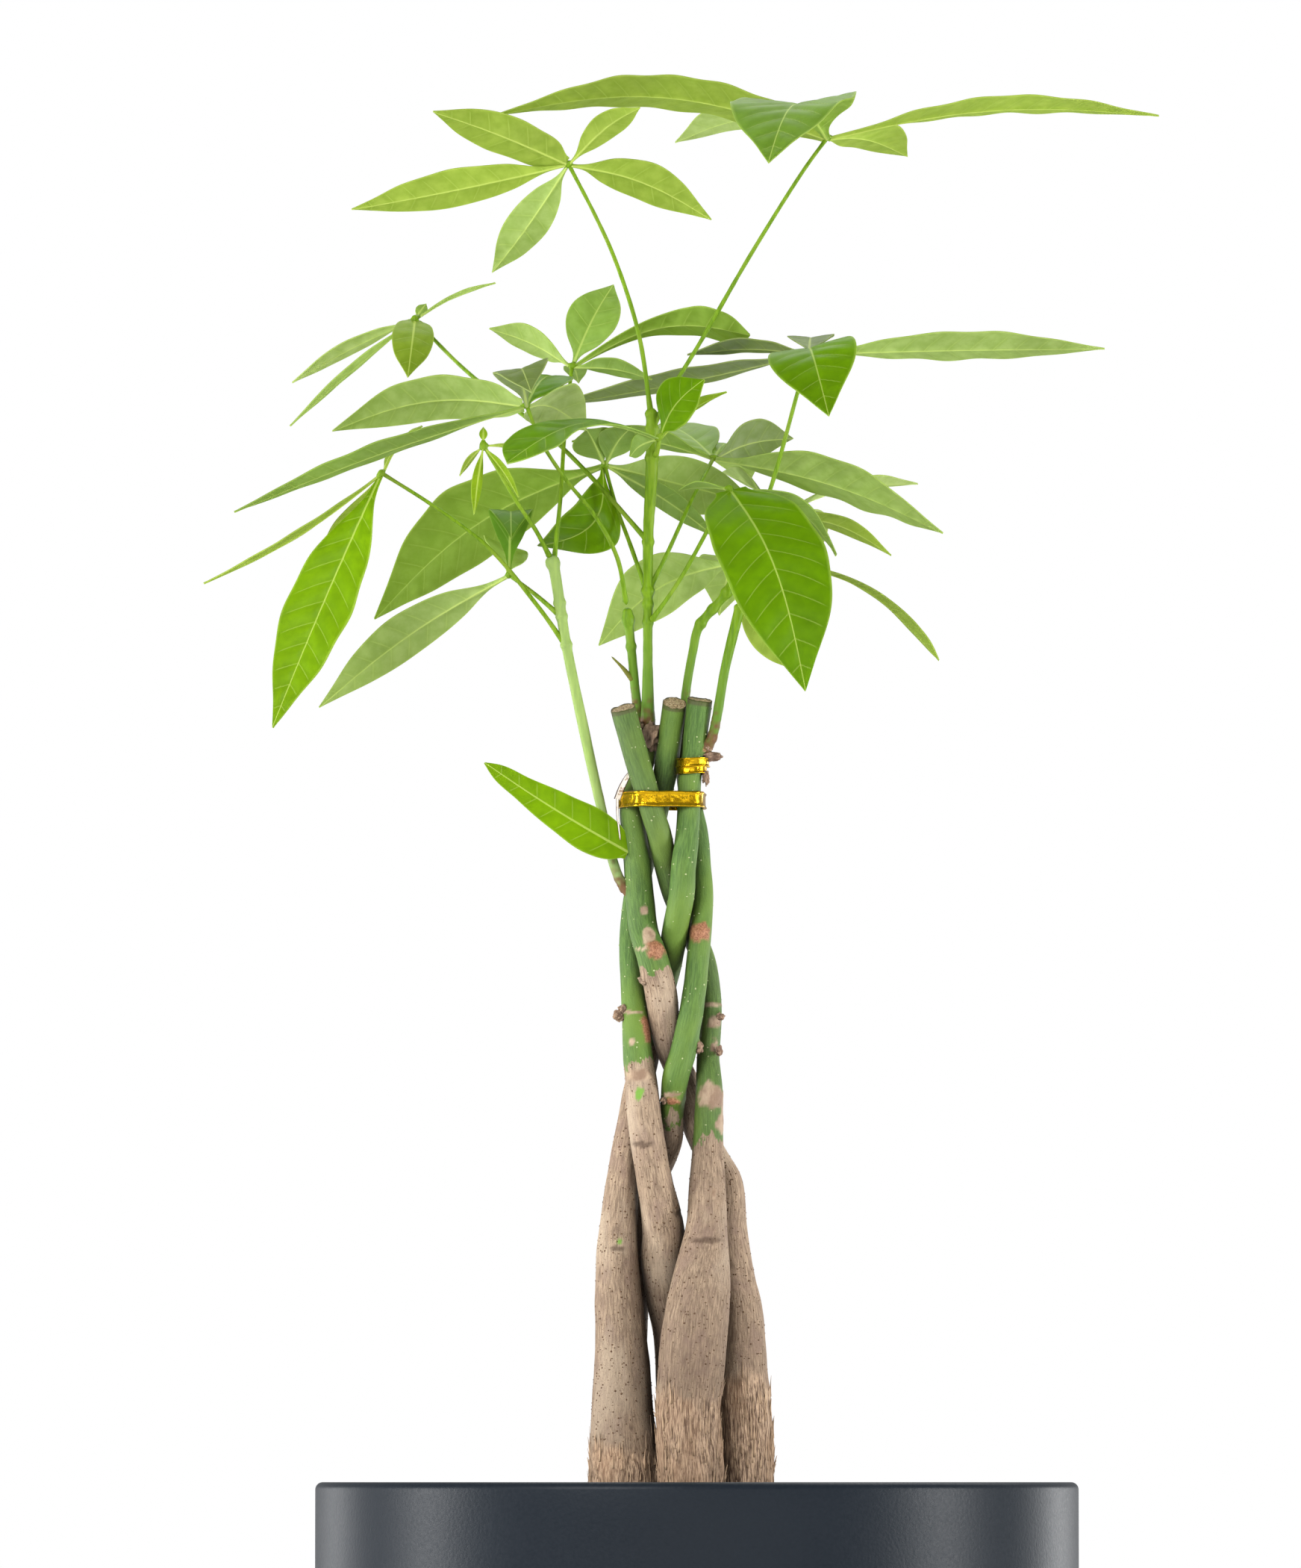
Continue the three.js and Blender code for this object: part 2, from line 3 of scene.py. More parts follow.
import bpy
import numpy as np
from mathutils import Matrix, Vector


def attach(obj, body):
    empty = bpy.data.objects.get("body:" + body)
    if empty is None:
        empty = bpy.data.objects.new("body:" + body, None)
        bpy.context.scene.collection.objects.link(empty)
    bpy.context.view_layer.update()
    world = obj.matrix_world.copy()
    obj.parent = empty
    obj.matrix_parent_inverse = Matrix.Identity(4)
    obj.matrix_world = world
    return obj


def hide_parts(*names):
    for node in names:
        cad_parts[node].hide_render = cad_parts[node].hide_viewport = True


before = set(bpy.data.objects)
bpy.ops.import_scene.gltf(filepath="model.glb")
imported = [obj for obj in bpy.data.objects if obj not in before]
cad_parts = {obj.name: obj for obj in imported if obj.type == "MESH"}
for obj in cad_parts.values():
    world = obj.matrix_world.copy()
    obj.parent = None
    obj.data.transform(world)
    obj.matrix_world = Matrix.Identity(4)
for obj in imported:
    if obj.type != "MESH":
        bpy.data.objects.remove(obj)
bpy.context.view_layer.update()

MM = 0.001
BODY = "root"
SEED = 41

# Driving sizes, in millimetres.
POT = {"radius": 127.5, "height": 225, "wall": 5, "floor": 7, "edge": 2.5, "foot": 3}
SOIL = {"top": 216, "edge": 214, "bottom": 7.3, "radius": 122.1}
STEM_SEAT = [(200, 0.95), (172, 0.8)]  # height in the soil and share of the radius at the rim

# How fine the meshes are.
POT_GRID = {"sides": 160, "rows": 24}
SOIL_GRID = {"sides": 180, "rings": 70}
STEM_GRID = (56, 430)  # sides and rings
CUT_RINGS = 7  # across the wood at the top of a stem

# Stalks. A shoot has a share of its table's radius, and a petiole has a radius at its foot and at
# its neck. Both swell at their two ends. A petiole starts within the reach of its own shoot.
SHOOT_STALK = {"share": 0.92, "step": 0.45, "sides": 24, "swell": (0.45, 0.12), "leaf_reach": 26}
PETIOLE = {"foot": 0.8, "neck": 0.6, "sides": 12, "swell": (0.55, 0.3)}
PALE_SHOOTS = {"shoot_2": 0.3}

# Knuckles where leaflets meet, and lumps of cork. The pole is the angle left open at each end,
# and a blade starts that far from the middle of its knuckle.
HUB = {"sides": 16, "rows": 11, "pole": 0.12, "radius": 1.25, "arm": 0.75, "blade_start": 1.045}
BURR = {"sides": 28, "rows": 20, "pole": 0.1, "rough": 0.34}

# Blades: thickness at the midrib and at the margin, least half width, size of a mesh cell, gap
# between side veins, crease angle in degrees, and depths of the fold, rib, quilting and waves.
BLADE = {"thick": 0.62, "edge": 0.4, "tip": 0.12, "cell": 1.1, "vein_gap": 8.2, "crease": 50,
         "trough": 0.16, "rib": 0.75, "quilt": 0.6, "wave": 0.028}
BASAL_SEED = 999  # for the random draws of the basal leaf

# Ties: slack round the stems, thickness of the foil, its edge wires and its loose ends, and steps
# round a band. Then the foot and top of each band, and how crumpled it is.
TIE = {"slack": 0.4, "thick": 0.5, "wire": 0.42, "flap": 0.35, "tail": 0.3, "steps": 240}
MAIN_TIE = (450.5, 455.8)
STUB_WRAPS = [(461.9, 464.7, 0.4), (464.3, 467.2, 0.75)]  # foot, top and slack of each wrap
LUMPS = {"main_tie": 1.0, "stub_tie": 2.4}

# The loose ends at the left of the main tie: x, y, z and half width.
FLAP = [(-26.6, -4.5, 453.4, 1.2), (-25.2, -6.8, 457, 1.1), (-23.2, -7.6, 460.8, 0.9),
        (-21.8, -6.6, 463, 0.25)]
TAIL = [(-26.6, -4.6, 453.6, 0.45), (-26.6, -5.2, 448, 0.4), (-25.7, -5.4, 439.6, 0.2)]

# Each stem from its top to the rim: x, y, z and radius. Each runs on down into the soil.
STEMS = {
    "stem_1": [
        (-24.8, -5, 484, 4.2), (-20.7, -6.5, 469, 4.2), (-18.4, -8, 461, 4.1), (-15.2, -8, 450, 4),
        (-12.4, -6, 441, 4), (-10.2, -1, 431, 4), (-7.2, 1.5, 421, 4), (-2, 5, 410, 4),
        (2.3, 5, 400, 3.9), (4.1, 4, 390, 3.8), (4.6, 2, 380, 3.8), (3.8, 0, 366, 3.8),
        (4.1, -4, 356, 4.5), (3.8, -5, 340, 5), (3.6, -5, 325, 6.1), (3.3, -7, 310, 6.7),
        (1.6, -9, 294, 9.4), (0.1, -11, 282, 10.7), (-1.2, -12, 271, 11.3), (-2.2, -12.5, 259, 11),
        (-2.9, -12.5, 248, 10.6), (-2.2, -12.5, 225, 11)],
    "stem_2": [
        (-16.4, 5, 479, 3.7), (-17, 4, 470, 3.8), (-19.5, 1.5, 461, 3.8), (-21.9, -2, 450, 3.9),
        (-20.9, -2, 441, 4.2), (-19.9, -2, 431, 4.6), (-19.1, -2.5, 421, 4.8), (-17.9, -4, 410, 4.8),
        (-14.9, -8, 400, 5.1), (-12.2, -6.5, 390, 5.3), (-10.9, -3.5, 380, 5.2), (-9.3, 0, 370, 4.4),
        (-5, 6, 361, 4.7), (-2, 6.5, 354, 4.7), (-0.5, 7, 346, 4.9), (4.5, 7, 335, 5.2),
        (9.7, 6.5, 325, 5.6), (10.4, 6, 310, 6.4), (11.9, 6, 294, 7.5), (13.6, 6, 282, 8.6),
        (13.9, 6, 271, 9.2), (14.2, 5, 259, 9.7), (14.6, 4.5, 248, 10.3), (14.9, 4, 225, 10.9)],
    "stem_3": [
        (-7.4, -1, 486, 4), (-8.6, -0.5, 477, 4), (-9.6, 0, 469, 4), (-10.9, 2, 461, 4),
        (-13.5, 4, 450, 4), (-16, 6, 441, 4), (-18.5, 7, 431, 4), (-20.5, 7.5, 421, 4),
        (-21.8, 6, 410, 4), (-21.9, 3, 400, 4), (-21.4, 0, 390, 4.1), (-20.7, -3, 380, 4.4),
        (-19.9, -5.5, 369, 4.9), (-18.3, -6, 356, 5.5), (-17.4, -7, 346, 5.7), (-15.8, -7.5, 335, 5.8),
        (-13.9, -6, 325, 5.9), (-11.3, -1.5, 310, 7.1), (-11, 3, 300, 7.8), (-9, 8, 288, 8.3),
        (-6, 11, 276, 8.8), (-4.5, 12.5, 260, 9.1), (-4, 14, 246, 9.4), (-4, 15, 225, 9.5)],
    "stem_4": [
        (1.1, -3, 487, 4.2), (-0.2, -3, 477, 4.1), (-0.9, -3, 469, 4), (-2.2, -4, 461, 3.9),
        (-2.7, -5, 450, 3.8), (-3.2, -6, 441, 3.9), (-4.4, -8, 431, 4.2), (-5.1, -9, 421, 4.3),
        (-7.2, -5, 410, 4.3), (-8.9, 1.8, 400, 4.3), (-11.5, 5, 390, 4.3), (-14, 6.5, 380, 4.4),
        (-17, 6, 367, 4.5), (-19.7, 5.3, 356, 4.8), (-21.5, 4.3, 346, 5), (-23.5, 2.3, 335, 5.2),
        (-24.9, 1, 325, 5.4), (-26.2, 0, 310, 6.2), (-26.6, 0, 300, 7), (-26, 0, 286, 7.9),
        (-25.2, 0, 271, 8.7), (-24.9, 0, 259, 9.6), (-24.9, 0, 246, 10.7), (-23.6, 0, 225, 12.8)],
    "stem_5": [
        (-4, 7, 479, 3.7), (-4, 7, 469, 3.7), (-3, 7, 461, 3.7), (-1.5, 6, 450, 3.7),
        (0.4, 5, 441, 3.7), (1.2, 3, 431, 3.7), (1.9, 0, 421, 3.7), (1.4, -3.2, 410, 3.7),
        (0.4, -5, 400, 3.8), (-0.7, -6.3, 390, 3.9), (-2.2, -7.3, 380, 4.1), (-4.8, -8, 368, 4.4),
        (-6.9, -7.5, 361, 4.5), (-8, -3, 353, 4.1), (-8.6, 1, 346, 4), (-8.7, 3.6, 340, 3.9),
        (-11, 6.5, 333, 4.1), (-15, 9, 325, 4.3), (-19, 12, 310, 5.4), (-21, 14.2, 300, 6.3),
        (-23, 17, 288, 7.3), (-24.5, 18.6, 276, 8), (-25.2, 20.3, 260, 8.7), (-26, 24.5, 225, 9.5)],
}

# The heights below which a stem has bark, and torn fibres. How the cut at its top slopes to the
# front, and how much darker than the others it is, from 0 to 1.
BARK_BELOW = {"stem_1": 340, "stem_2": 396, "stem_3": 364, "stem_4": 371, "stem_5": 346}
FIBRE_TOP = {"stem_1": 256, "stem_2": 262, "stem_3": 250, "stem_4": 240, "stem_5": 250}
CUT_SLOPE = {"stem_1": 0.42, "stem_2": 0.1, "stem_3": 0.5, "stem_4": 0.22, "stem_5": 0.1}
STEM_SHADE = {"stem_1": 0.24, "stem_2": 0.07}

# Marks on the stems: place, half width and half height. A scar is red-brown cork, a patch is
# cream cork, a ring is an old leaf scar round the stem, a knot stands out, a nick shows green.
MARKS = {
    "stem_1": [
        ("ring", (5, -2, 384.5), 6, 0.6), ("patch", (6, -3, 379), 3, 2.5), ("knot", (8, -1, 381), 2, 1.6),
        ("patch", (7, -5, 371), 2.5, 4), ("patch", (5, -9, 354), 5, 4.5), ("patch", (8, -7, 344.5), 2.8, 3),
        ("patch", (9, -5, 350), 2, 6), ("dark", (3.6, -13, 305.5), 5, 1.1),
        ("patch", (5.5, -11, 319), 0.7, 4), ("knot", (2, -13, 304), 5, 1.6)],
    "stem_2": [
        ("scar", (-13.6, -12.6, 402.5), 3.2, 3.2), ("patch", (-16, -11, 408), 2.2, 4),
        ("knot", (-14, -12.5, 403), 4, 3.4), ("patch", (-17.5, -8, 416), 1.5, 1.6),
        ("ring", (-16, -9, 402.8), 5, 0.5), ("knot", (-17.5, -9.5, 392.5), 2.2, 1.8)],
    "stem_3": [
        ("ring", (-22, -7, 381.8), 5, 0.6), ("knot", (-25.6, -4, 381), 1.9, 1.7),
        ("dark", (-25.9, -4.2, 379.8), 1.6, 1.3),
        ("patch", (-21.5, -8, 371.5), 1.6, 1.8), ("scar", (-16.6, -7, 376.5), 2, 6),
        ("patch", (-19, -11, 360.6), 5, 2), ("nick", (-19.3, -11, 354.4), 1.5, 2.4),
        ("dark", (-18, -12, 337.5), 4, 1), ("dark", (-5.5, -5, 314.5), 2, 1.5)],
    "stem_4": [
        ("scar", (4, -4, 470), 2.4, 1.6), ("knot", (3.5, -4, 469.5), 2.6, 2), ("ring", (-21, 0, 352), 4, 0.6),
        ("dark", (-26, -8, 303), 3, 0.9), ("nick", (-26, -8, 305.4), 1.5, 1.2)],
    "stem_5": [
        ("scar", (0.8, -8, 408.5), 4.2, 3.3), ("knot", (0.8, -8, 408.5), 3.6, 3.2),
        ("scar", (-7.8, -9, 352.2), 2.7, 1.4), ("knot", (-7.6, -8, 352), 4, 3),
        ("patch", (-7.8, -9, 354.4), 3.4, 0.8),
        ("knot", (0.4, -7, 370.5), 2.2, 2.4), ("scar", (1, -8, 370.5), 1.6, 1.8)],
}

# How far the marks stand out, or lie in.
MARK_LIFT = {"scar": 0.25, "patch": 0.12, "ring": 0.25, "dark": -0.3, "nick": -0.15}

# Rough corky lumps round the feet of the shoots and where twigs were cut: place and half sizes.
BURRS = {
    "stem_1": [((7.9, -3.5, 380.5), (1.4, 1.4, 1.2)), ((7.4, -4, 369), (1.1, 1.2, 1.6))],
    "stem_2": [((-15, 0.6, 475.2), (2.9, 2.8, 4.6)), ((-18.6, 0.8, 477.6), (1.6, 1.6, 2.2)),
               ((-17.4, -9.2, 392.5), (2, 1.6, 1.7))],
    "stem_3": [((-26, -4.4, 380.8), (1.9, 1.6, 1.7)), ((-24.6, -4.5, 383), (1.5, 1.4, 1.3))],
    "stem_4": [((4.9, -3.8, 467.7), (3.8, 2.3, 1.6)), ((3, -5.4, 460.6), (1.2, 1.2, 2.4)),
               ((3.4, -4.6, 470.4), (1.6, 1.5, 1.2))],
    "stem_5": [((0.7, -8.3, 370), (1.4, 1.5, 1.9)), ((-11, -6.4, 352.4), (1.3, 1.4, 1.2)),
               ((-4.2, 3.6, 478.4), (2.4, 2.2, 2.6))],
}

# Green shoots from their foot in a stem to their top: x, y, z and radius.
SHOOTS = {
    "shoot_1": [
        (-16.4, 5, 474, 3), (-16.4, 0.5, 486, 2.3), (-16.4, -0.5, 501, 1.7), (-16.4, -1, 521, 1.8),
        (-16.2, -3, 544, 1.9), (-15.2, -5, 561, 2.3), (-15, -6, 577, 2.2), (-15.4, -6.5, 585, 1.6)],
    "shoot_2": [
        (-19.5, -2.4, 419, 2.2), (-26, -2.2, 427, 1.8), (-32.7, -3.2, 453.5, 1.8), (-37.9, -5.5, 477, 1.9),
        (-43.9, -7, 506, 1.8), (-47.7, -8, 530, 2), (-48.9, -8, 535, 2.2)],
    "shoot_3": [(-17.6, 5.5, 476, 2.2), (-20, 3, 486, 1.7), (-21.9, 1, 504, 1.6), (-23.4, -1, 518, 1.8)],
    "shoot_4": [
        (-4, 7, 476, 2), (-3.9, 5.5, 487, 1.6), (-1.2, 5, 504, 1.6), (0.8, 4.5, 512, 1.7),
        (10.4, 4, 524, 1.5), (14, 4, 533, 1.4)],
    "shoot_5": [
        (2, -3.2, 468.6, 1.9), (5.2, -5, 474.5, 1.8), (9.6, -6, 497.5, 1.7), (13.6, -6.5, 514, 1.9),
        (15, -6.5, 519, 1.9)],
}
STIPULES = {"shoot_3": [(-21.3, 1.5, 493.5, 1.1), (-24.6, 0.5, 497.6, 0.7), (-28.6, -0.5, 501.6, 0.2)]}

# Bits strewn on a surface: how many to a square metre, the attribute that says where, and the
# least and the greatest size.
CORK_DOTS = {"Density": 90000.0, "Where": "plain", "Small": (0.18, 0.16, 0.1), "Large": (0.46, 0.4, 0.24)}
TORN_FLAKES = {"Density": 90000.0, "Where": "fibre", "Small": (0.3, 2, 0.3), "Large": (1.1, 8, 1.0)}
SOIL_CRUMBS = {"Density": 38000.0, "Where": "top", "Small": (0.6, 0.6, 0.5), "Large": (3, 2.6, 2.2)}

# Colours of the blades, upper side and underside: own tones, partly with painted shade in dark and dusk and
# painted sheen in pale.
TINTS = {
    "spring": ((0.50, 0.58, 0.20), (0.65, 0.73, 0.32)),
    "sage": ((0.54, 0.65, 0.33), (0.71, 0.79, 0.49)),
    "pale": ((0.60, 0.69, 0.40), (0.76, 0.82, 0.56)),
    "dark": ((0.38, 0.56, 0.10), (0.56, 0.66, 0.36)),
    "bright": ((0.45, 0.60, 0.02), (0.57, 0.68, 0.14)),
    "deep": ((0.37, 0.535, 0.0), (0.54, 0.68, 0.15)),
    "mid": ((0.42, 0.56, 0.20), (0.56, 0.67, 0.30)),
    "fold": ((0.32, 0.50, 0.04), (0.38, 0.56, 0.16)),
    "dusk": ((0.44, 0.49, 0.32), (0.55, 0.59, 0.46)),
}

# Colours of everything else. The leaf ones dim or tint a blade's own colour.
PAINT = {
    "slate": (0.05, 0.08, 0.11), "slate haze": (0.08, 0.105, 0.135), "slate grain": (0.19, 0.215, 0.245),
    "wet soil": (0.14, 0.10, 0.075), "dry soil": (0.30, 0.225, 0.165), "soil fleck": (0.47, 0.38, 0.28),
    "skin dark": (0.24, 0.36, 0.14), "skin light": (0.37, 0.50, 0.22), "skin yellow": (0.40, 0.51, 0.19),
    "skin speck": (0.52, 0.58, 0.42), "skin dot": (0.66, 0.70, 0.50), "bark dark": (0.45, 0.375, 0.31),
    "bark light": (0.70, 0.61, 0.51), "bark violet": (0.52, 0.43, 0.38), "bark pale": (0.74, 0.67, 0.58),
    "bark speck": (0.38, 0.29, 0.22), "bark dot": (0.40, 0.30, 0.22), "fibre dark": (0.36, 0.27, 0.21),
    "fibre light": (0.84, 0.72, 0.60), "fibre tan": (0.72, 0.57, 0.44), "flake": (0.80, 0.68, 0.55),
    "cork dark": (0.55, 0.45, 0.37), "cork light": (0.70, 0.61, 0.51), "scar dark": (0.50, 0.32, 0.22),
    "scar light": (0.65, 0.46, 0.34), "nick": (0.45, 0.62, 0.25), "old cork and painted shade": (0.29, 0.22, 0.17),
    # hollow is the colour of painted shade in the gaps between the stems.
    "wood dark": (0.46, 0.35, 0.25), "wood light": (0.78, 0.69, 0.56), "hollow": (0.12, 0.09, 0.06),
    "shoot dark": (0.34, 0.47, 0.05), "shoot light": (0.44, 0.57, 0.10), "shoot patch": (0.47, 0.57, 0.16),
    "shoot base": (0.33, 0.46, 0.16), "shoot pale": (0.74, 0.80, 0.58), "shoot foot": (0.40, 0.29, 0.19),
    "leaf dim": (0.86, 0.89, 0.82), "leaf trough shade": (0.74, 0.80, 0.62), "leaf vein": (0.85, 0.90, 0.50),
    "leaf glow": (0.86, 0.95, 0.35), "gold crease shade": (0.60, 0.44, 0.02), "gold": (0.84, 0.68, 0.12),
    "paper": (0.93, 0.90, 0.86), "paper crease": (0.62, 0.48, 0.36), "paper hem": (0.26, 0.16, 0.09),
}

# Ways for the upper side of a leaf to face.
UNDER = (0, 0.75, 0.66)
FLAT = (0, 0.25, 0.97)
FRONT = (0.1, -0.85, 0.5)

# Half width of a blade along its length, as a share of its widest place. A broad blade is wide
# near its foot, and a far one near its tip.
OUTLINE = [(0, 0.07), (0.08, 0.13), (0.26, 0.68), (0.52, 1), (0.75, 0.74), (0.91, 0.27), (1, 0.01)]
BROAD = [(0, 0.3), (0.1, 0.7), (0.3, 0.96), (0.52, 1), (0.75, 0.74), (0.91, 0.27), (1, 0.01)]
FAR = [(0, 0.08), (0.1, 0.14), (0.36, 0.36), (0.66, 0.78), (0.84, 1), (0.95, 0.6), (1, 0.02)]
BASAL_OUTLINE = [(0, 0.35), (0.08, 0.74), (0.22, 1), (0.46, 0.86), (0.72, 0.56), (0.92, 0.3), (1, 0.03)]

# Palmate leaves: hub, the way the upper side faces, petiole, and leaflets as reach from the hub
# to the tip, width, arch, tint, and a side and an outline of its own if any.
LEAVES = {
    "leaf_01": ((-43, -16, 666), (0, 0.72, 0.7), [
        (-15.4, -6.5, 583), (-18.7, -7, 606), (-22, -8, 619), (-28.2, -10, 636.5), (-34, -12, 649)], [
        ((-73, 10, -14), 15.5, -1, "spring"),
        ((-45, -22, 15), 16, 1.5, "spring", (0, 0.72, 0.7), BROAD), ((24, -24, 16), 10.5, 4, "spring"),
        ((48, 14, -17), 16, 6, "spring"), ((-26, 30, -33), 14.5, -2, "sage")]),
    "leaf_02": ((44, -8, 676), (0, 0.45, 0.9), [
        (-14.8, -6, 578), (-9, -6, 590), (0.9, -6, 606.5), (18.4, -6, 637), (36, -7.5, 665)], [
        ((-111, -14, 6), 26, 11, "spring", (0, 0.3, 0.95), BROAD),
        ((-20.5, -66, -16.5), 42, 15, "mid", (0.03, 0.1, 1)),
        ((112, 12, 9), 22, 6, "spring", (0, 0.15, 0.99)), ((-51, 44, 4), 24, 8, "pale", (0, 0.3, 0.95)),
        ((28, 50, 0), 22, 3, "spring")]),
    "leaf_03": ((-95.5, 35, 619.5), (0, 0.4, 0.9), [
        (-16.2, -3, 540), (-30, -1.5, 556), (-40, 0.5, 567), (-50, 6, 577), (-77, 22, 599.5),
        (-89.5, 31, 612.5)], [
        ((-42, 8, -21), 8.5, 1.5, "pale"), ((-42, -14, -38), 6, 1, "sage"),
        ((27, 16, 14), 4, 1.5, "sage"), ((-2, -20, -22), 14, 3, "spring", FRONT, BROAD),
        ((3.6, 6, 5.6), 4, 0, "sage", (0, -1, 0.3))]),
    "leaf_04": ((-57, -24, 584), UNDER, [
        (-23.6, -1.5, 519), (-26.7, -5, 534.5), (-34, -10, 548), (-44, -16, 560), (-52, -21, 572)], [
        ((-65, 6, -8), 18, 10, "sage", UNDER, BROAD), ((-97, -14, -37), 15, 2, "dark", (0, 0.3, 0.95)),
        ((20, 23, -6), 22, 5, "pale"), ((2, -44, 0), 19, 10, "dusk", (-0.25, 0.25, 0.93)),
        ((9, 32, 13), 22, 3, "dark", (0, -0.36, 0.93))]),
    "leaf_05": ((-42, 14, 601), (0, 0.6, 0.8), [
        (-48, -6, 532), (-45.8, -9, 553), (-44.4, 2.5, 577)], [
        ((-28, 10, 14), 14, 2, "sage"), ((14, 12, 29), 18, 3, "sage", (0, -0.8, 0.6)),
        ((60, -12, 9.5), 20, 10, "mid", (0, 0.5, 0.86), FAR), ((27, -16, -6), 10, 2, "dark"),
        ((2, 34, -2), 8, 2, "dark")]),
    "leaf_06": ((37.9, 6, 604.9), FLAT, [
        (14, 4, 532), (24, 4, 556), (34, 5, 591)], [
        ((100, 8, 2.2), 21, 0.5, "sage", (0, 0.35, 0.93)),
        ((5.8, -50, -26.3), 30, 10.5, "deep", (-0.22, 0.05, 0.97)), ((-41, 2, -0.5), 14, 2, "dusk"),
        ((2, 42, 6), 16, 4, "dusk"), ((16, 34, 2), 9, 1, "dark"),
        ((-86.4, 14, -16.4), 17, -1, "dusk", (0, 0.25, 0.97))]),
    "leaf_07": ((5.9, 24, 571), UNDER, [
        (-16, -1.5, 524), (-11, 0, 534), (-2, 5, 554)], [
        ((77, -22, -27.5), 31, 4.5, "sage", (0, 0.4, 0.92)),
        ((-48, -6, 5), 16, 4, "dark", (0, 0.35, 0.94)), ((27, 14, 8), 18, 3, "dusk"),
        ((-18, 36, 15), 22, 2, "sage", (0, -0.3, 0.95)), ((12, 56, -4), 24, 9, "sage", FLAT)]),
    "leaf_08": ((27, 20, 551), (0.1, 0.5, 0.86), [
        (15, -6, 518), (18, 1, 528), (24, 14, 543)], [
        ((39, 6, -13), 9, 5, "spring"), ((49, 50, 15.5), 14, 4, "pale"),
        ((20, -16, -15), 14, 4, "dark"), ((14, 44, -12), 20, 7, "pale"), ((-18, 24, 17), 17, 3, "pale")]),
    "leaf_09": ((-105.5, -16, 562), (-0.3, 0.3, 0.9), [
        (-44, -6.8, 505), (-53.4, -9, 518), (-70, -12, 537.5), (-88, -14, 551)], [
        ((-36, -8, -86), 28, 1, "bright", (-0.5, -0.8, 0.35)), ((13, 22, 18), 9, 2, "spring"),
        ((-60, 12, -36), 10, -3, "spring", (-0.4, 0.1, 0.9)), ((-22, 28, -48), 15, 4, "spring")]),
    "leaf_10": ((-31, 13, 567.5), (-0.2, 0.7, 0.7), [
        (-16.6, -1, 523), (-22.4, 5, 540), (-27, 9, 553)], [
        ((-78, 14, -51), 34, 12, "mid"), ((-22.5, 0, -27.5), 26, 14, "deep", (0.547, -0.707, -0.448)),
        ((38, 8, -24), 9, 3, "dark"), ((52, 26, -11), 19, 0, "sage", (0, 1, 0.2)),
        ((-6, -11, 11), 15, 2, "dark"), ((9, -10, 12), 14, 2, "dark")]),
    "leaf_11": ((-71.4, -21, 571), (0, 0.5, 0.86), [
        (-49, -8.5, 534), (-54, -15, 543), (-60.2, -19, 552)], [
        ((-8, 4, -10), 2.5, 1, "spring"), ((-3, -7, -24), 3.8, 1, "bright"),
        ((12, -5, -18), 4, 1, "bright"), ((19, 5, -2), 2.5, 1, "spring"), ((0, 0, 6), 2.8, 0, "bright")]),
    "leaf_12": ((-12.5, -11.5, 574.5), (0.1, 0.1, 1), [
        (-14, -6.5, 568), (-13, -10, 571)], [
        ((15, -9, 18.4), 22, 3, "deep", (-0.5, -0.7, 0.4)), ((22.5, -3, 15), 11, 2, "bright"),
        ((-10, -6, -7), 9, 2, "dark", UNDER), ((-50.5, -34, -12), 24, 9, "dark", (0, -0.3, 0.95), FAR)]),
    "leaf_13": ((14, 14, 535), UNDER, [
        (13, 4.5, 530), (13.6, 9, 532)], [
        ((-47, 6, -28), 24, 12, "sage"), ((21, -6, -38), 26, 4, "spring"),
        ((68, 6, -33), 13, 11, "spring", (0, 0.1, 1), FAR), ((-6, 50, -14), 22, 8, "sage")]),
    "leaf_14": ((11, -10, 557.5), (0, 0.2, 0.97), [
        (-15.6, -2, 513), (-6.4, -4, 526), (4.4, -7, 545)], [
        ((25, -26, -70), 36, 15, "deep", (0.15, -0.9, 0.4), BROAD), ((-17, 6, 0), 8, 1, "dark"),
        ((36, 4, -22), 13, 7, "dark")]),
    "leaf_15": ((-63, -2, 529), UNDER, [
        (-45.5, -7.5, 514.5), (-54, -5, 522)], [
        ((-64, 8, -44), 17, 5.5, "sage"), ((0.9, -16, 11), 15, 18.5, "fold", (0, 0.51, 0.86)),
        ((-6, 34, 13), 16, 4, "pale")]),
}
BASAL = {"foot": (-23, -5.4, 435.5), "reach": (-48, -9, 29.4), "width": 15.5, "arch": -3,
         "faces": (0.1, -0.97, 0.2), "tint": "bright"}

# The camera stands 3.6 m in front of the pot, at the height of its rim, and looks a little up.
CAMERA = {"distance": 3.6, "middle": -0.0155, "height": 0.225, "aim": 0.45875, "film": 36}
PICTURE = (1743, 2100)
METRES_PER_PIXEL = 0.00025

# Lamps, in metres: place, the spot they face, width and height, and power in watts.
LAMPS = {
    "front_softbox": ((-1.2, -2.0, 1.4), (0, 0, 0.45), (1.1, 1.1), 50),
    "low_softbox": ((0.4, -2.3, 0.25), (0, 0, 0.6), (2.0, 0.4), 10),
    "right_softbox": ((1.7, -0.45, 0.3), (0, 0, 0.3), (0.3, 0.9), 31),
    "left_softbox": ((-1.8, -0.15, 0.3), (0, 0, 0.3), (0.3, 0.9), 31),
    "rim_left": ((-1.5, 1.5, 0.25), (0, 0, 0.2), (0.5, 0.7), 6),
    "rim_right": ((1.5, 1.5, 0.25), (0, 0, 0.2), (0.5, 0.7), 9),
    "top_softbox": ((0.3, 0.9, 2.0), (0, 0, 0.5), (1.6, 1.6), 26),
}
SKY = {"lighting": 0.43, "seen": 1.0}  # strength as a light, and to the camera
FLOOR = {"radius": 1.6, "sides": 96, "colour": (0.86, 0.86, 0.85, 1)}

# Steps between two places of a route, and how many steps its thickness is evened over.
ROUTE = {"steps": 40, "soften": 13}
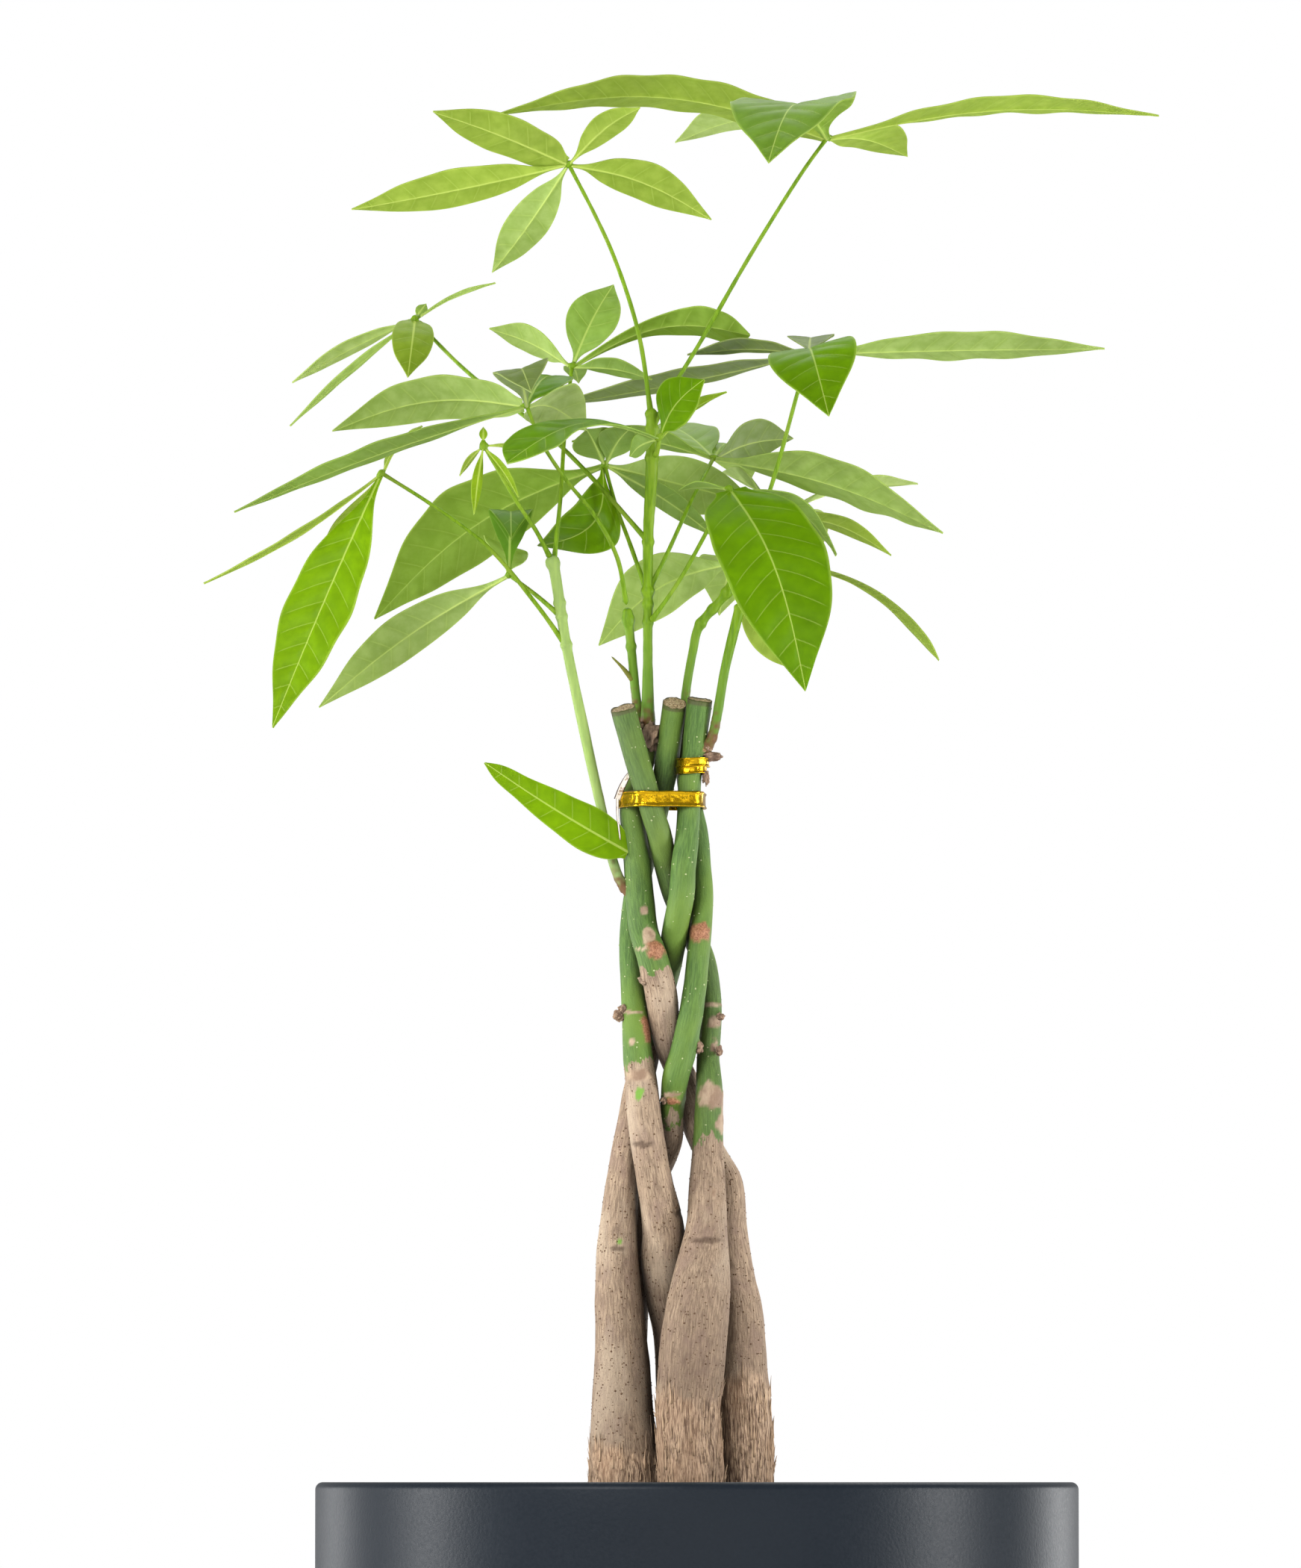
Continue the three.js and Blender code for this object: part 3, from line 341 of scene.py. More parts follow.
# Odd numbers that scramble a grid cell into a random value.
SCRAMBLE = (374761393, 668265263, 1440662683)
SCRAMBLE_AGAIN = 1274126177


# ---- Curves and surfaces --------------------------------------------------------------------

def hermite(t, start, start_slope, end, end_slope):
    """A cubic from one value to the next, with the given slopes."""
    return ((2 * t**3 - 3 * t**2 + 1) * start + (t**3 - 2 * t**2 + t) * start_slope
            + (3 * t**2 - 2 * t**3) * end + (t**3 - t**2) * end_slope)


def full_turn(sides):
    """Angles in even steps round a circle."""
    return np.linspace(0, 2 * math.pi, sides, endpoint=False)


def run_along(places):
    """How far along a line of places each of them lies."""
    return np.concatenate([[0], np.cumsum(np.linalg.norm(np.diff(places, axis=0), axis=1))])


def smooth_route(places, count):
    """A smooth curve through the places, with their radii, in even steps along its length."""
    spots = np.array(places, float)
    first = 2 * spots[0] - spots[1]
    last = 2 * spots[-1] - spots[-2]
    padded = np.vstack([first, spots, last])
    fine = []
    for k in range(len(spots) - 1):
        p0, p1, p2, p3 = padded[k:k + 4, :3]
        d0, d1, d2 = [max(np.linalg.norm(b - a), 1e-6) ** 0.5 for a, b in ((p0, p1), (p1, p2), (p2, p3))]
        m1 = ((p1 - p0) / d0 - (p2 - p0) / (d0 + d1) + (p2 - p1) / d1) * d1
        m2 = ((p2 - p1) / d1 - (p3 - p1) / (d1 + d2) + (p3 - p2) / d2) * d1
        t = np.linspace(0, 1, ROUTE["steps"], endpoint=k == len(spots) - 2)[:, None]
        radius = (1 - t) * spots[k, 3] + t * spots[k + 1, 3]
        fine.append(np.hstack([hermite(t, p1, m1, p2, m2), radius]))
    fine = np.vstack(fine)
    run = run_along(fine[:, :3])
    even = np.linspace(0, run[-1], count)
    curve = np.stack([np.interp(even, run, fine[:, i]) for i in range(4)], axis=1)
    window = ROUTE["soften"]
    thick = np.pad(curve[:, 3], window // 2, mode="edge")
    return curve[:, :3], np.convolve(thick, np.ones(window) / window, mode="valid"), even


def frames_along(middle):
    """Tangents and two crosswise directions along a curve, with no twist."""
    along = np.gradient(middle, axis=0)
    along /= np.linalg.norm(along, axis=1, keepdims=True)
    across = np.zeros_like(along)
    guide = np.array([1, 0.1, 0])
    for i, tangent in enumerate(along):
        guide = guide - tangent * guide.dot(tangent)
        guide /= np.linalg.norm(guide)
        across[i] = guide
    return along, across, np.cross(across, along)


def shell_from_rings(rings):
    """Places and faces of a closed tube through rings of places, with a fan at each end."""
    count, around = rings.shape[:2]
    places = np.vstack([rings.reshape(-1, 3), rings[0].mean(axis=0), rings[-1].mean(axis=0)])
    a = np.arange(count - 1)[:, None] * around + np.arange(around)[None, :]
    b = np.arange(count - 1)[:, None] * around + (np.arange(around)[None, :] + 1) % around
    faces = np.stack([a, b, b + around, a + around], axis=-1).reshape(-1, 4).tolist()
    start = count * around
    for j in range(around):
        nxt = (j + 1) % around
        faces.append([start, nxt, j])
        faces.append([start + 1, start - around + j, start - around + nxt])
    return places, faces


def with_caps(data):
    """Values for a shell's rings, with those of its first and last vertex for the two fans."""
    return np.concatenate([data, data[:1], data[-1:]])


def ball_ways(sides, rows, pole):
    """Directions out of a ball's middle, ring by ring from its top to its foot."""
    turns = full_turn(sides)
    return np.array([[(math.sin(b) * math.cos(a), math.sin(b) * math.sin(a), math.cos(b)) for a in turns]
                     for b in np.linspace(pole, math.pi - pole, rows)])


def faces_out(places, faces):
    """The same faces, turned over if the closed shape is inside out."""
    tri = np.array([face[:3] for face in faces])
    quad = np.array([[face[0], face[2], face[-1]] for face in faces if len(face) == 4], int).reshape(-1, 3)
    volume = 0
    for corners in (tri, quad):
        a, b, c = (places[corners[:, i]] for i in range(3))
        volume += np.einsum("ij,ij->i", a, np.cross(b, c)).sum()
    return faces if volume > 0 else [face[::-1] for face in faces]


def noise(spots, size, seed=0):
    """Smooth noise from -1 to 1 over places in millimetres."""
    q = np.asarray(spots, float) / size + seed * 7.31
    cell = np.floor(q).astype(np.int64)
    part = q - cell
    part = part * part * (3 - 2 * part)
    total = np.zeros(len(q))
    for corner in range(8):
        bit = np.array([corner & 1, corner >> 1 & 1, corner >> 2 & 1])
        key = (cell + bit) @ np.array(SCRAMBLE)
        key = (key ^ (key >> 13)) * SCRAMBLE_AGAIN
        value = ((key ^ (key >> 16)) & 0xFFFF) / 32767.5 - 1
        total += value * np.prod(np.where(bit, part, 1 - part), axis=1)
    return total


def into_scene(name, data):
    """A new object in the scene, for a mesh, a light or a camera."""
    obj = bpy.data.objects.new(name, data)
    bpy.context.scene.collection.objects.link(obj)
    return obj


class Shell:
    """Closed shapes gathered into one mesh, with values kept at every vertex."""

    def __init__(self):
        self.places, self.faces, self.values, self.kinds = [], [], {}, []
        self.count = 0

    def add(self, places, faces, kind=0, **values):
        """Add a closed shape in millimetres, the number of its material and its values."""
        faces = faces_out(places, faces)
        self.faces += [[i + self.count for i in face] for face in faces]
        self.kinds += [kind] * len(faces)
        self.places.append(np.asarray(places) * MM)
        for name in set(self.values) | set(values):
            earlier = self.values.setdefault(name, [])
            sample = np.asarray(values[name]) if name in values else None
            width = sample.shape[1:] if sample is not None else earlier[0].shape[1:]
            if not earlier and self.count:
                earlier.append(np.zeros((self.count, *width)))
            earlier.append(sample if sample is not None else np.zeros((len(places), *width)))
        self.count += len(places)

    def piece(self, name, materials, crease=None):
        """The shapes so far as one smooth object, sharp where they bend more than the crease."""
        mesh = bpy.data.meshes.new(name)
        mesh.from_pydata(np.vstack(self.places).tolist(), [], self.faces)
        mesh.polygons.foreach_set("material_index", self.kinds)
        mesh.shade_smooth()
        for key, parts in self.values.items():
            data = np.concatenate(parts)
            kind = "FLOAT" if data.ndim == 1 else "FLOAT_VECTOR" if data.shape[1] == 3 else "FLOAT_COLOR"
            layer = mesh.attributes.new(key, kind, "POINT")
            slot = {"FLOAT": "value", "FLOAT_VECTOR": "vector", "FLOAT_COLOR": "color"}[kind]
            layer.data.foreach_set(slot, data.astype(np.float32).ravel())
        if crease:
            mesh.set_sharp_from_angle(angle=math.radians(crease))
        mesh.validate()
        mesh.update()
        for material in materials:
            mesh.materials.append(material)
        return into_scene(name, mesh)


def settle(piece, slot, *nodes):
    """Say what a finished piece rides on and stands for. Its slot is not used."""
    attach(piece, BODY)
    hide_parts(*nodes)
    return piece


# ---- Node trees -----------------------------------------------------------------------------

def put(tree, kind, sockets=None, **settings):
    """Add a node. A socket takes a number, or the output that feeds it."""
    node = tree.nodes.new(kind)
    for key, value in settings.items():
        setattr(node, key, value)
    for key, value in (sockets or {}).items():
        if isinstance(value, bpy.types.NodeSocket):
            tree.links.new(value, node.inputs[key])
        else:
            node.inputs[key].default_value = value
    return node


def sum_up(tree, operation, a, b=0.5, c=0.5):
    """One step of arithmetic."""
    return put(tree, "ShaderNodeMath", {0: a, 1: b, 2: c}, operation=operation).outputs[0]


def times(tree, a, b):
    """One value times another."""
    return sum_up(tree, "MULTIPLY", a, b)


def rest_of(tree, share):
    """One less a share."""
    return sum_up(tree, "SUBTRACT", 1.0, share)


def read(tree, name, output="Fac"):
    """A value kept at the vertices."""
    return put(tree, "ShaderNodeAttribute", attribute_name=name).outputs[output]


def blend(tree, share, first, second, how="MIX"):
    """Two colours mixed. Each is the name of a paint, or the output that feeds it."""
    node = put(tree, "ShaderNodeMix", data_type="RGBA", blend_type=how)
    for index, value in ((0, share), (6, first), (7, second)):
        if isinstance(value, bpy.types.NodeSocket):
            tree.links.new(value, node.inputs[index])
        else:
            node.inputs[index].default_value = value if index == 0 else shade(PAINT[value])
    return node.outputs[2]


def ramp(tree, value, low, high):
    """Nought below low, one above high, and smooth between."""
    sockets = {"Value": value, "From Min": low, "From Max": high}
    node = put(tree, "ShaderNodeMapRange", sockets, interpolation_type="SMOOTHSTEP")
    return node.outputs["Result"]


def cloud(tree, spots, scale, detail=3.0, rough=0.5, stretch=(1, 1, 1)):
    """Procedural noise on given coordinates, drawn out by stretch."""
    moved = put(tree, "ShaderNodeMapping", {"Vector": spots, "Scale": stretch}).outputs[0]
    sockets = {"Vector": moved, "Scale": scale, "Detail": detail, "Roughness": rough}
    return put(tree, "ShaderNodeTexNoise", sockets).outputs["Fac"]


def shade(colour):
    """A colour as the eye reads it, from 0 to 1 a channel, in the renderer's linear values."""
    return (*(((c + 0.055) / 1.055) ** 2.4 if c > 0.04045 else c / 12.92 for c in colour[:3]), 1)


def new_finish(name, rough=0.5, gloss=0.5):
    """A plain finish to build on: its tree, its shader, its output and the object's coordinates."""
    finish = bpy.data.materials.new(name)
    finish.use_nodes = True
    tree = finish.node_tree
    tree.nodes.clear()
    skin = put(tree, "ShaderNodeBsdfPrincipled", {"Roughness": rough, "Specular IOR Level": gloss})
    out = put(tree, "ShaderNodeOutputMaterial", {"Surface": skin.outputs[0]})
    spots = put(tree, "ShaderNodeTexCoord").outputs["Object"]
    return finish, tree, skin, out, spots


def relief(tree, skin, height, depth):
    """Fine bumps, depth metres high at most."""
    node = put(tree, "ShaderNodeBump", {"Height": height, "Distance": depth, "Strength": 1.0})
    tree.links.new(node.outputs[0], skin.inputs["Normal"])


# ---- Finishes -------------------------------------------------------------------------------

def satin_slate():
    """Dark grey glaze with a faint haze and a fine grain."""
    finish, tree, skin, _, spots = new_finish("satin_slate", 0.42, 0.13)
    mottle = cloud(tree, spots, 18, 4, 0.6)
    grain = cloud(tree, spots, 900, 2, 0.5)
    colour = blend(tree, mottle, "slate", "slate haze")
    colour = blend(tree, times(tree, grain, 0.15), colour, "slate grain")
    tree.links.new(colour, skin.inputs["Base Color"])
    tree.links.new(sum_up(tree, "MULTIPLY_ADD", grain, 0.14, 0.33), skin.inputs["Roughness"])
    relief(tree, skin, grain, 0.06 * MM)
    return finish


def damp_soil():
    """Dark brown crumbs with pale flecks."""
    finish, tree, skin, _, spots = new_finish("damp_soil", 0.95)
    lumps = cloud(tree, spots, 160, 5, 0.7)
    colour = blend(tree, ramp(tree, lumps, 0.35, 0.65), "wet soil", "dry soil")
    flecks = ramp(tree, cloud(tree, spots, 420, 2, 0.5), 0.66, 0.72)
    colour = blend(tree, flecks, colour, "soil fleck")
    tree.links.new(colour, skin.inputs["Base Color"])
    relief(tree, skin, lumps, 0.6 * MM)
    return finish


def stem_skin():
    """Green skin above, smooth grey-brown bark below, torn fibres at the foot, the marks, and painted shade
    in the gaps between stems.
    """
    finish, tree, skin, _, _ = new_finish("stem_skin", 0.62, 0.3)
    grain = read(tree, "grain", "Vector")
    streak = cloud(tree, grain, 2300, 4, 0.65, (1, 1, 0.09))
    patch = cloud(tree, grain, 170, 4, 0.6, (1, 1, 0.6))
    broad = cloud(tree, grain, 60, 3, 0.5, (1, 1, 0.5))
    speck = cloud(tree, grain, 1900, 3, 0.65)
    dot = read(tree, "dot")
    green = blend(tree, ramp(tree, streak, 0.3, 0.75), "skin dark", "skin light")
    green = blend(tree, ramp(tree, broad, 0.4, 0.7), green, "skin yellow")
    green = blend(tree, ramp(tree, speck, 0.68, 0.76), green, "skin speck")
    green = blend(tree, dot, green, "skin dot")
    bark = blend(tree, ramp(tree, streak, 0.3, 0.72), "bark dark", "bark light")
    bark = blend(tree, times(tree, ramp(tree, patch, 0.45, 0.7), 0.6), bark, "bark violet")
    bark = blend(tree, times(tree, ramp(tree, broad, 0.5, 0.68), 0.5), bark, "bark pale")
    bark = blend(tree, ramp(tree, speck, 0.60, 0.70), bark, "bark speck")
    bark = blend(tree, dot, bark, "bark dot")
    # The torn fibres are lighter on their raised strands and darker in the furrows: their own tones, with
    # painted highlight and painted shade.
    fibre = blend(tree, ramp(tree, streak, 0.38, 0.62), "fibre dark", "fibre light")
    fibre = blend(tree, times(tree, ramp(tree, broad, 0.45, 0.65), 0.5), fibre, "fibre tan")
    fibre = blend(tree, times(tree, read(tree, "flake"), 0.6), fibre, "flake")
    height = sum_up(tree, "MULTIPLY_ADD", sum_up(tree, "SUBTRACT", patch, 0.5), 26, read(tree, "skin"))
    colour = blend(tree, ramp(tree, height, -0.6, 0.6), bark, green)
    colour = blend(tree, times(tree, read(tree, "fibre"), 0.85), colour, fibre)
    cream = blend(tree, ramp(tree, patch, 0.4, 0.6), "cork dark", "cork light")
    colour = blend(tree, read(tree, "patch"), colour, cream)
    scar = blend(tree, ramp(tree, speck, 0.4, 0.6), "scar dark", "scar light")
    colour = blend(tree, read(tree, "scar"), colour, scar)
    colour = blend(tree, read(tree, "nick"), colour, "nick")
    # The dark value paints old cork on marks, burrs and cut rims, and painted shade low on the bark.
    colour = blend(tree, times(tree, read(tree, "dark"), 0.7), colour, "old cork and painted shade")
    wood = blend(tree, ramp(tree, speck, 0.35, 0.65), "wood dark", "wood light")
    colour = blend(tree, read(tree, "cut"), colour, wood)
    # Painted shade: crevices between the stems are darkened towards the hollow colour.
    hollow = put(tree, "ShaderNodeAmbientOcclusion", {"Distance": 0.03}, samples=6).outputs["AO"]
    gap_shade = times(tree, rest_of(tree, ramp(tree, hollow, 0.05, 0.75)), 0.75)
    colour = blend(tree, gap_shade, colour, "hollow")
    tree.links.new(colour, skin.inputs["Base Color"])
    rough = sum_up(tree, "MULTIPLY_ADD", ramp(tree, height, -1, 1), -0.22, 0.78)
    tree.links.new(rough, skin.inputs["Roughness"])
    torn = sum_up(tree, "MULTIPLY_ADD", read(tree, "fibre"), 3.0, 0.8)
    relief(tree, skin, sum_up(tree, "MULTIPLY_ADD", streak, torn, speck), 0.18 * MM)
    return finish


def green_shoot():
    """Streaked green skin, duller at the shoot's base and brown where it leaves the stem."""
    finish, tree, skin, _, spots = new_finish("green_shoot", 0.45, 0.12)
    streak = cloud(tree, spots, 900, 3, 0.6, (1, 1, 0.08))
    patch = cloud(tree, spots, 110, 3, 0.6, (1, 1, 0.4))
    colour = blend(tree, ramp(tree, streak, 0.3, 0.7), "shoot dark", "shoot light")
    colour = blend(tree, ramp(tree, patch, 0.45, 0.7), colour, "shoot patch")
    colour = blend(tree, read(tree, "base"), colour, "shoot base")
    colour = blend(tree, read(tree, "pale"), colour, "shoot pale")
    colour = blend(tree, read(tree, "scar"), colour, "shoot foot")
    tree.links.new(colour, skin.inputs["Base Color"])
    relief(tree, skin, streak, 0.12 * MM)
    return finish


def leaf_blade():
    """Paler veins, a mottled blade that is duller below, painted shade in the dips along the side veins, and
    light that shines through it.
    """
    finish, tree, skin, out, spots = new_finish("leaf_blade", 0.42, 0.1)
    lie = put(tree, "ShaderNodeSeparateXYZ", {0: read(tree, "lie", "Vector")})
    across, rank, along = (lie.outputs[i] for i in range(3))
    out_mm = sum_up(tree, "ABSOLUTE", across)
    near = sum_up(tree, "ABSOLUTE", sum_up(tree, "SUBTRACT", sum_up(tree, "FRACT", rank), 0.5))
    edge = read(tree, "edge")
    side_vein = rest_of(tree, ramp(tree, near, 0.008, 0.045))
    side_vein = times(tree, side_vein, ramp(tree, rest_of(tree, edge), 0.04, 0.3))
    width = sum_up(tree, "MULTIPLY_ADD", along, -0.3, 0.44)
    midrib = rest_of(tree, ramp(tree, sum_up(tree, "DIVIDE", out_mm, width), 0.7, 1.3))
    mottle = cloud(tree, spots, 260, 4, 0.6)
    mesh = cloud(tree, spots, 900, 2, 0.5)
    base = read(tree, "tint", "Color")
    dim = blend(tree, 1.0, base, "leaf dim", "MULTIPLY")
    deep = blend(tree, 1.0, base, "leaf trough shade", "MULTIPLY")
    colour = blend(tree, ramp(tree, mottle, 0.3, 0.7), dim, base)
    colour = blend(tree, times(tree, ramp(tree, mesh, 0.5, 0.7), 0.15), colour, dim)
    # Painted shade: the blade is darker in the dips along its side veins.
    low = rest_of(tree, ramp(tree, near, 0.02, 0.30))
    colour = blend(tree, times(tree, low, 0.28), colour, deep)
    light = blend(tree, 0.5, base, "leaf vein")
    colour = blend(tree, times(tree, side_vein, 0.36), colour, light)
    colour = blend(tree, times(tree, midrib, 0.9), colour, light)
    colour = blend(tree, times(tree, ramp(tree, edge, 0.93, 0.99), 0.4), colour, light)
    tree.links.new(colour, skin.inputs["Base Color"])
    tree.links.new(sum_up(tree, "MULTIPLY_ADD", read(tree, "upper"), -0.16, 0.56), skin.inputs["Roughness"])
    relief(tree, skin, rest_of(tree, side_vein), 0.03 * MM)
    through = blend(tree, 0.7, base, "leaf glow")
    glow = put(tree, "ShaderNodeBsdfTranslucent", {"Color": through})
    both = put(tree, "ShaderNodeMixShader", {0: 0.38, 1: skin.outputs[0], 2: glow.outputs[0]})
    tree.links.new(both.outputs[0], out.inputs["Surface"])
    return finish


def gold_foil():
    """Creased yellow metal, with painted shade in its sunk creases."""
    finish, tree, skin, _, spots = new_finish("gold_foil", 0.24)
    crease = cloud(tree, spots, 700, 3, 0.6, (1, 1, 0.5))
    # Painted shade: the gold is darker where the creases sink.
    colour = blend(tree, crease, "gold crease shade", "gold")
    tree.links.new(colour, skin.inputs["Base Color"])
    skin.inputs["Metallic"].default_value = 1.0
    relief(tree, skin, crease, 0.18 * MM)
    return finish


def paper_back():
    """The pale inner face of the tie, brown where it is creased, and dark brown painted shadow along the
    edges of its loose ends.
    """
    finish, tree, skin, _, spots = new_finish("paper_back", 0.35, 0.5)
    crease = cloud(tree, spots, 500, 3, 0.6)
    colour = blend(tree, ramp(tree, crease, 0.52, 0.66), "paper", "paper crease")
    # Painted shadow: dark brown along the edges of the loose ends.
    colour = blend(tree, ramp(tree, read(tree, "hem"), 0.35, 0.8), colour, "paper hem")
    tree.links.new(colour, skin.inputs["Base Color"])
    relief(tree, skin, crease, 0.1 * MM)
    return finish


# ---- The pot and the soil -------------------------------------------------------------------

def arc(middle, radius, start, end, steps):
    """Points of a profile on part of a circle, from one angle to another in degrees."""
    turns = np.radians(np.linspace(start, end, steps + 1))
    return [(middle[0] + radius * math.cos(a), middle[1] + radius * math.sin(a)) for a in turns]


def turned(profile, sides):
    """Rings of places round the upright axis, one for each point of the profile."""
    turns = full_turn(sides)
    ring = np.stack([np.cos(turns), np.sin(turns)], axis=1)
    return np.array([np.hstack([ring * r, np.full((sides, 1), z)]) for r, z in profile])


def make_pot():
    """A straight hollow planter with a rounded foot and rim."""
    radius, height, edge, foot = (POT[key] for key in ("radius", "height", "edge", "foot"))
    inner = radius - POT["wall"]
    upright = np.linspace(foot, height - edge, POT_GRID["rows"])[1:-1]
    profile = [(1, 0), (radius * 0.5, 0)]
    profile += arc((radius - foot, foot), foot, -90, 0, 6)
    profile += [(radius, z) for z in upright]
    profile += arc((radius - edge, height - edge), edge, 0, 90, 7)
    profile += arc((inner + edge, height - edge), edge, 90, 180, 7)
    profile += [(inner, z) for z in upright[::-3]]
    profile += [(inner, POT["floor"]), (1, POT["floor"])]
    shell = Shell()
    shell.add(*shell_from_rings(turned(profile, POT_GRID["sides"])))
    settle(shell.piece("pot_satin", [satin_slate()]), "planter", "pot")


def make_soil(finish):
    """The bed itself: lumpy on top and a little raised round the stems."""
    radius, edge = SOIL["radius"], SOIL["edge"]
    profile = [(1, SOIL["bottom"]), (radius, SOIL["bottom"]), (radius, edge - 3)]
    profile += [(radius * share, edge + (SOIL["top"] - edge) * (1 - share**2))
                for share in np.linspace(1, 0.02, SOIL_GRID["rings"])]
    rings = turned(profile, SOIL_GRID["sides"])
    flat = rings[3:].reshape(-1, 3)
    feet = np.array([route[-1] for route in STEMS.values()])
    reach = np.linalg.norm(flat[:, None, :2] - feet[None, :, :2], axis=2) - feet[None, :, 3]
    lift = 1.3 * noise(flat, 9, 2) + 0.8 * noise(flat, 3.1, 3) + 0.4 * noise(flat, 1.3, 4)
    fade = np.clip((radius - np.linalg.norm(flat[:, :2], axis=1)) / 4, 0, 1)
    flat[:, 2] += lift * fade + 1.6 * np.exp(-np.clip(reach.min(axis=1), 0, None) / 4) * fade
    rings[3:] = flat.reshape(rings[3:].shape)
    places, faces = shell_from_rings(rings)
    inside = np.hypot(*places.T[:2]) < radius - 3
    shell = Shell()
    shell.add(places, faces, top=((places[:, 2] > edge - 1.5) & inside) * 1.0)
    bed = shell.piece("soil_bed", [finish])
    strew(bed, CRUMBS, SOIL_CRUMBS, SEED, finish)
    return bed


# ---- The stems ------------------------------------------------------------------------------

def bark_relief(grain, skin, fibre):
    """Streaks and ridges along the bark, and furrows where it is torn."""
    barky = np.clip(0.5 - skin / 8, 0, 1)
    drawn = grain * (1, 1, 0.12)
    lift = barky * (0.16 * noise(drawn, 1.1, 5) + 0.22 * noise(drawn, 2.7, 6)) + 0.10 * noise(grain, 5, 7)
    lift += fibre * (0.75 * np.abs(noise(drawn, 1.5, 8)) + 0.5 * noise(grain * (1, 1, 0.3), 2.2, 9) - 0.2)
    return lift


def add_marks(marks, spots, values, lift):
    """Scars, rings, knots and patches: where each one shows, and how far it stands out."""
    grain = values["grain"]
    for kind, place, half_width, half_height in marks:
        away = (spots - place) / (half_width, half_width * 1.3, half_height)
        far = np.linalg.norm(away, axis=1) + 0.3 * noise(grain, 1.6, 10) + 0.12 * noise(grain, 0.7, 11)
        if kind == "knot":
            lift += 0.9 * np.clip(1.25 - far, 0, 1) ** 1.5
            continue
        mask = np.clip((1.1 - far) / 0.25, 0, 1)
        shown = "patch" if kind == "ring" else kind
        values[shown] = np.maximum(values[shown], mask)
        lift += MARK_LIFT[kind] * mask


def make_stem(name, finish):
    """A stem with its bark, marks, cut top, burrs and painted shade low down, with dots and flakes strewn on
    it.
    """
    around, count = STEM_GRID
    seed = int(name[-1])
    rim = STEMS[name][-1]
    route = STEMS[name] + [(rim[0], rim[1], z, rim[3] * share) for z, share in STEM_SEAT]
    middle, radius, run = smooth_route(route, count)
    along, across, over = frames_along(middle)
    turns = full_turn(around)
    out = across[:, None] * np.cos(turns)[None, :, None] + over[:, None] * np.sin(turns)[None, :, None]
    spots = (middle[:, None] + out * radius[:, None, None]).reshape(-1, 3)
    grain = np.stack([(np.cos(turns) * radius[:, None]).ravel(), (np.sin(turns) * radius[:, None]).ravel(),
                      np.repeat(run, around)], axis=1) + seed * 50
    skin = spots[:, 2] - BARK_BELOW[name]
    fibre = np.clip((FIBRE_TOP[name] + 6 * noise(grain, 5, seed) - spots[:, 2]) / 7, 0, 1)
    values = {key: np.zeros(len(spots)) for key in ("scar", "patch", "nick", "cut")}
    # Painted shade: below 300 mm the bark darkens towards the soil. STEM_SHADE makes some stems darker all
    # over.
    values["dark"] = 0.24 * np.clip((300 - spots[:, 2]) / 40, 0, 1) * (1 - fibre) + STEM_SHADE.get(name, 0)
    values.update(grain=grain, skin=skin, fibre=fibre)
    lift = bark_relief(grain, skin, fibre)
    add_marks(MARKS[name], spots, values, lift)
    spots += out.reshape(-1, 3) * lift[:, None]
    rings = spots.reshape(count, around, 3)
    top = np.clip(1 - run / 9, 0, 1)[:, None]
    front = ((rings - middle[:, None]) @ np.array([0, -1, 0])) * top**2
    rings += along[:, None] * (front * CUT_SLOPE[name])[..., None]
    rings, values = cut_face(rings, along[0], values)
    values["plain"] = (1 - values["fibre"]) * (1 - values["cut"]) * np.where(values["skin"] < 0, 1, 0.25)
    values["grain"] = values["grain"] * MM
    shell = Shell()
    shell.add(*shell_from_rings(rings), **{key: with_caps(data) for key, data in values.items()})
    for place, sizes in BURRS.get(name, ()):
        add_burr(shell, place, sizes)
    bark = shell.piece(name + "_bark", [finish])
    strew(bark, DOTS, CORK_DOTS, seed, finish)
    strew(bark, FLAKES, TORN_FLAKES, seed, finish)
    return bark


def add_burr(shell, place, sizes):
    """A torn lump of cork with ridges and dark hollows."""
    ways = ball_ways(BURR["sides"], BURR["rows"], BURR["pole"])
    flat = ways.reshape(-1, 3) + place
    rough = noise(flat, 0.42, 31) + 0.6 * noise(flat, 0.2, 32)
    swell = 1 + BURR["rough"] * rough.reshape(ways.shape[:2])
    places, faces = shell_from_rings(ways * np.array(sizes) * swell[..., None] + np.array(place))
    whole = np.ones(len(places))
    shell.add(places, faces, grain=places * MM, skin=whole * -20, scar=whole * 0.2,
              dark=np.clip(0.6 - 0.9 * with_caps(rough), 0, 1))


def cut_face(rings, down, values):
    """Rings of grainy wood across the cut top, inside a ragged rim."""
    around = rings.shape[1]
    extra = CUT_RINGS * around
    shares = np.linspace(0.12, 0.93, CUT_RINGS)[:, None, None]
    centre = rings[0].mean(axis=0)
    flat = (centre + (rings[0][None] - centre) * shares).reshape(-1, 3)
    flat += down * (0.35 + 0.35 * noise(flat, 0.9, 12))[:, None]
    rings[0] += down * (0.3 * noise(rings[0], 1.1, 13))[:, None]
    first = {"grain": flat, "skin": np.full(extra, 50.0), "cut": np.ones(extra)}
    values = {key: np.concatenate([first.get(key, np.zeros(extra)), data]) for key, data in values.items()}
    values["dark"][extra:extra + 3 * around] = 0.9
    values["dark"][extra - around:extra] = 0.7
    return np.concatenate([flat.reshape(CUT_RINGS, around, 3), rings]), values


# ---- Swept and strewn pieces ----------------------------------------------------------------

